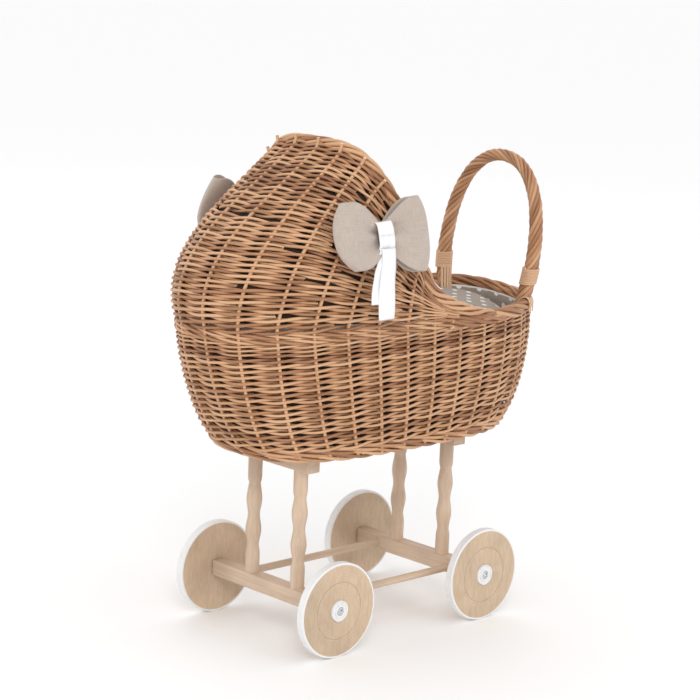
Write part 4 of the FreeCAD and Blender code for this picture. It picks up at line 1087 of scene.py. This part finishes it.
quilt_low, quilt_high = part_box("quilt")
QUILT_SKIRT = 0.0128
QUILT_TOP_INSET = 0.112           # the flat middle starts this far in from the wall
QUILT_ROLL, QUILT_FOOT_ROLL = 0.013, 0.036   # rounding of its edge, and what is added by the handle
ROLL_STRETCH = 1.15
QUILT_SAG = 0.0090
QUILT_OFF_FLOOR = 0.002
COVER_INSIDE = 0.0016
QUILT_PUFF = 0.0012
SPINE_REACH = 0.150
quilt_stations = np.linspace(0, STAKE_COUNT, 169)[:-1]
quilt_angles = station_angle(quilt_stations)
slack_edge = np.maximum(0.0, np.cos(quilt_angles + 0.9)) ** 1.5
roll_by_angle = QUILT_ROLL + QUILT_FOOT_ROLL * slack_edge
crown = quilt_high.z - QUILT_SAG * slack_edge
quilt_rows, quilt_marks, profile = [], [], []
skirt_z = quilt_low.z + QUILT_OFF_FLOOR
roll_inset = QUILT_SKIRT + roll_by_angle * ROLL_STRETCH
for share in np.linspace(0, 1, 7):
    z = skirt_z + (crown - roll_by_angle - skirt_z) * share
    profile.append((QUILT_SKIRT + 0 * quilt_angles, z))
for share in np.linspace(0, 1, 14)[1:]:
    turn = share * math.pi / 2
    inset = QUILT_SKIRT + roll_by_angle * ROLL_STRETCH * (1 - math.cos(turn))
    profile.append((inset, crown - roll_by_angle * (1 - math.sin(turn))))
for share in np.linspace(0, 1, 9)[1:]:
    inset = roll_inset + (QUILT_TOP_INSET - roll_inset) * share
    profile.append((inset, crown + (quilt_high.z - crown) * share))
for inset, z in profile:
    row = wall_point(quilt_angles, np.minimum(z, rim_z), inset)
    puff = np.sin(quilt_stations * 0.9) * np.sin(inset * 60) * QUILT_PUFF
    row[:, 2] = z - COVER_INSIDE + np.where(z > crown - 0.02, puff - QUILT_PUFF, 0.0)
    quilt_rows.append(row)
inward_first = np.array(profile)[::-1]
slopes = np.sqrt((np.diff(inward_first, axis=0) ** 2).sum(1))
steps_down = np.concatenate([np.zeros((1, len(quilt_angles))), np.cumsum(slopes, axis=0)])[::-1]
centre_ring = wall_point(quilt_angles, rim_z, QUILT_TOP_INSET)
edge_direction = unit(wall_point(quilt_angles, rim_z, 0.0) - centre_ring)
for step_down in steps_down:
    flat_points = centre_ring[:, :2] + edge_direction[:, :2] * step_down[:, None]
    quilt_marks.append(np.concatenate([flat_points, flat_points[:1]]))
spine = centre_ring.copy()
spine[:, 0] = np.clip(spine[:, 0], -SPINE_REACH, SPINE_REACH)
spine[:, 1] = 0.0
spine[:, 2] = quilt_rows[-1][:, 2]
quilt_rows.append(spine)
quilt_marks.append(np.concatenate([spine[:, :2], spine[:1, :2]]))
quilt = cloth_mesh("quilt_cover", np.stack(quilt_rows), np.stack(quilt_marks), dotted_cotton, 0.0,
                   closed=True)
fixed(quilt, "dotted_cotton", "quilt")


# ---- linen bows with white ribbons --------------------------------------------------------------
# A folded strip of beige linen drawn in at the middle by a white ribbon band, whose two cut
# tails hang below. One bow is sewn to each side of the hood.
LINEN_LIGHT = (0.52, 0.435, 0.375, 1)
LINEN_SHADE = (0.45, 0.37, 0.315, 1)
RIBBON_WHITE = (0.87, 0.87, 0.885, 1)
RIBBON_SHADE = (0.84, 0.84, 0.86, 1)
LOOP_LENGTH = 0.066
# For each loop: its upper and lower corner cuts, then its upper and lower half heights.
LOOP_SHAPES = {-1: (0.016, 0.025, 0.044, 0.038), 1: (0.012, 0.013, 0.044, 0.047)}
KNOT_HALF_HEIGHT = 0.0175
LOOP_FRONT, LOOP_BACK = 0.0125, 0.0060
LOOP_START, LOOP_LIFT = 0.004, 0.002
PINCH_DEPTH, PINCH_AT, PINCH_WIDTH = 0.0105, 0.25, 0.20
PLEAT_DEPTH, ROLL_DEPTH = 0.0034, 0.0016
LINEN_THICKNESS, BAND_THICKNESS, TAIL_THICKNESS = 0.0010, 0.0008, 0.0007
BAND_HALF_WIDTH, BAND_HALF_HEIGHT, BAND_HALF_DEPTH, BAND_SQUARE = 0.0122, 0.0185, 0.0112, 0.7
# For each tail: its length, its shift sideways, its lean and its place over the one behind.
TAIL_SHAPES = ((0.066, -0.0075, -0.065, 0.0006), (0.085, 0.0, -0.020, 0.0026))
TAIL_HALF_TOP, TAIL_SPREAD, TAIL_HALF_WIDTH = 0.0105, 0.0022, 0.0125
linen = cloth("beige linen", LINEN_LIGHT, LINEN_SHADE, 5200.0)
ribbon_cotton = cloth("white ribbon", RIBBON_WHITE, RIBBON_SHADE, 12000.0, sheen=0.4, relief=0.25)


def squared(wave):
    """A wave drawn out towards a square one."""
    return np.sign(wave) * np.abs(wave) ** BAND_SQUARE


def bow_place(side):
    """Centre of a bow and the directions along it, up it and out of the hood."""
    low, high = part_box("bow_band_" + side)
    wanted = (low + high) / 2
    share, climb = 0.12, 0.5

    def at(share_step, climb_step):
        return hood_point(np.array(share + share_step), np.array(climb + climb_step))

    for _ in range(80):
        here = at(0, 0)
        share = float(np.clip(share - (wanted.x - here[0]) * 0.8, 0.02, 0.45))
        climb = float(np.clip(climb + (wanted.z - here[2]) * 2.0, 0.05, 0.95))
    small = 0.004
    outward = unit(np.cross(at(-small, 0) - at(small, 0), at(0, small) - at(0, -small)))
    along = unit(np.array([1.0, 0.0, 0.0]) - outward * outward[0])
    up = np.cross(along, outward)
    up *= np.sign(up[2])
    if side == "right":
        outward, along, up = (direction * [1, -1, 1] for direction in (outward, along, up))
    return np.array(wanted), along, up, outward


for side in SIDES:
    centre, along, up, outward = bow_place(side)
    loops = []
    for number, sign in enumerate((-1, 1)):
        turn, height = np.meshgrid(np.linspace(0.0, 2 * math.pi, 45), np.linspace(-1, 1, 33), indexing="ij")
        upper_cut, lower_cut, upper_half, lower_half = LOOP_SHAPES[sign]
        reach = LOOP_LENGTH - np.where(height > 0, upper_cut, lower_cut) * np.abs(height) ** 2.4
        part = (1 - np.cos(turn)) / 2
        full = np.where(height > 0, upper_half, lower_half)
        opened = np.sin(np.clip(part * 1.25, 0, 1) * math.pi / 2) ** 1.1
        half = KNOT_HALF_HEIGHT + (full - KNOT_HALF_HEIGHT) * opened
        front = np.sin(turn)
        body = np.where(front > 0, LOOP_FRONT, LOOP_BACK) * front * (0.55 + 0.45 * part)
        valley = np.exp(-((height - PINCH_AT) / PINCH_WIDTH) ** 2) * (1 - part) ** 1.2
        pinch = -PINCH_DEPTH * valley * np.clip(front + 0.4, 0, 1)
        pleat = PLEAT_DEPTH * np.cos(height * 5.2 + sign) * (1 - part) ** 0.8 * np.clip(front + 0.2, 0, 1)
        roll = ROLL_DEPTH * np.sin(height * 3 + part * 4 + sign)
        depth = body + pinch + pleat + roll + LOOP_LIFT
        points = (centre + along * (sign * (LOOP_START + reach * part))[..., None]
                  + up * (height * half)[..., None] + outward * depth[..., None])
        marks = np.stack([turn / (2 * math.pi) * 0.165 + 0.2 * sign, height * 0.045], -1)
        loops.append(cloth_mesh("loop_{}_{}".format(side, number), points, marks, linen, 0.0))
    bow = joined("bow_linen_" + side, loops, LINEN_THICKNESS)
    fixed(bow, "linen", "bow_loops_" + side)

    turn, across = np.meshgrid(np.linspace(0, 2 * math.pi, 49), np.linspace(-1, 1, 15), indexing="ij")
    waist = 1 - 0.10 * (1 - across ** 2) + 0.02 * np.sin(turn * 5 + across * 2)
    crease = 0.0007 * np.cos(across * 9) * np.clip(np.cos(turn), 0, 1)
    width = across * BAND_HALF_WIDTH * (1 - 0.06 * np.cos(turn) ** 2)
    height = squared(np.sin(turn)) * BAND_HALF_HEIGHT * waist
    depth = squared(np.cos(turn)) * BAND_HALF_DEPTH * waist + crease + 0.001
    points = centre + along * width[..., None] + up * height[..., None] + outward * depth[..., None]
    marks = np.stack([turn / (2 * math.pi) * 0.10, across * BAND_HALF_WIDTH], -1)
    band = cloth_mesh("bow_knot_" + side, points, marks, ribbon_cotton, BAND_THICKNESS)
    fixed(band, "white_ribbon", "bow_band_" + side)

    tails = []
    tail_top = centre - up * 0.0150 + outward * 0.0095
    out = np.array([0.0, -1.0 if side == "left" else 1.0, 0.0])
    for number, (length, shift, lean, layer) in enumerate(TAIL_SHAPES):
        fall, across = np.meshgrid(np.linspace(0, 1, 33), np.linspace(-1, 1, 9), indexing="ij")
        narrow = TAIL_HALF_TOP + TAIL_SPREAD * np.clip(fall * 3.2, 0, 1)
        sway = shift * np.clip(fall * 2.5, 0, 1) + lean * length * fall
        ripple = 0.0012 * np.sin(fall * 7 + across * 0.8 + number) + 0.0007 * np.cos(across * 3) * (1 - fall)
        settle = 0.0022 * np.sin(np.clip(fall * 3, 0, 1) * math.pi / 2)
        points = (tail_top + np.array([1.0, 0, 0]) * (across * narrow + sway)[..., None]
                  - UPRIGHT * (fall * length)[..., None] + out * (layer + ripple + settle)[..., None])
        marks = np.stack([across * TAIL_HALF_WIDTH, fall * length], -1)
        tails.append(cloth_mesh("tail_{}_{}".format(side, number), points, marks, ribbon_cotton, 0.0))
    tail = joined("bow_tails_" + side, tails, TAIL_THICKNESS)
    fixed(tail, "white_ribbon", "ribbon_tails_" + side)


# ---- studio --------------------------------------------------------------------------------------
# A pale seamless floor, a bright soft sky, a broad key light on the left and a gentle back light.
FLOOR_REACH = 60.0
FLOOR_PALE = (0.965, 0.965, 0.965, 1)
floor_mesh = bpy.data.meshes.new("studio_floor")
floor_corners = [(x * FLOOR_REACH, y * FLOOR_REACH, 0) for x, y in ((-1, -1), (1, -1), (1, 1), (-1, 1))]
floor_mesh.from_pydata(floor_corners, [], [(0, 1, 2, 3)])
floor_material, _, floor_shader = start_material("pale studio floor")
floor_shader["Base Color"].default_value = FLOOR_PALE
floor_shader["Roughness"].default_value = 0.7
floor_mesh.materials.append(floor_material)
floor = bpy.data.objects.new("studio_floor", floor_mesh)
bpy.context.collection.objects.link(floor)
floor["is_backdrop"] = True

world = bpy.data.worlds.new("studio")
world.use_nodes = True
sky = world.node_tree.nodes["Background"].inputs
sky["Color"].default_value = (1.0, 1.0, 1.0, 1)
sky["Strength"].default_value = 1.0
bpy.context.scene.world = world


def soft_light(name, stands, size, power, aim):
    data = bpy.data.lights.new(name, "AREA")
    data.shape, data.size, data.energy = "DISK", size, power
    light = bpy.data.objects.new(name, data)
    light.location = stands
    light.rotation_euler = (Vector(aim) - Vector(stands)).to_track_quat("-Z", "Y").to_euler()
    bpy.context.collection.objects.link(light)


box_low, box_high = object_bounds()
middle = (Vector(box_low) + Vector(box_high)) / 2
soft_light("key", (-2.2, -2.6, 2.4), 1.2, 34.0, middle)
soft_light("back", (1.5, 2.6, 2.8), 1.8, 8.0, middle)

AZIMUTH, ELEVATION, ROLL = math.radians(-43.57), math.radians(11.69), math.radians(2.32)
DISTANCE = 3.0255
aim = Vector((-0.00667, 0.00635, 0.34906))
flat_reach = math.cos(ELEVATION)
back = Vector((math.sin(AZIMUTH) * flat_reach, -math.cos(AZIMUTH) * flat_reach, math.sin(ELEVATION)))
level = Vector((0, 0, 1)).cross(back).normalized()
upright = back.cross(level)
right = level * math.cos(ROLL) + upright * math.sin(ROLL)
top = upright * math.cos(ROLL) - level * math.sin(ROLL)
camera_data = bpy.data.cameras.new("camera")
camera_data.sensor_width = 36.0
camera_data.lens = 122.79
camera = bpy.data.objects.new("camera", camera_data)
turned = Matrix((right, top, back)).transposed().to_4x4()
turned.translation = aim + back * DISTANCE
camera.matrix_world = turned
bpy.context.collection.objects.link(camera)
bpy.context.scene.camera = camera
bpy.context.scene.view_settings.view_transform = "Standard"
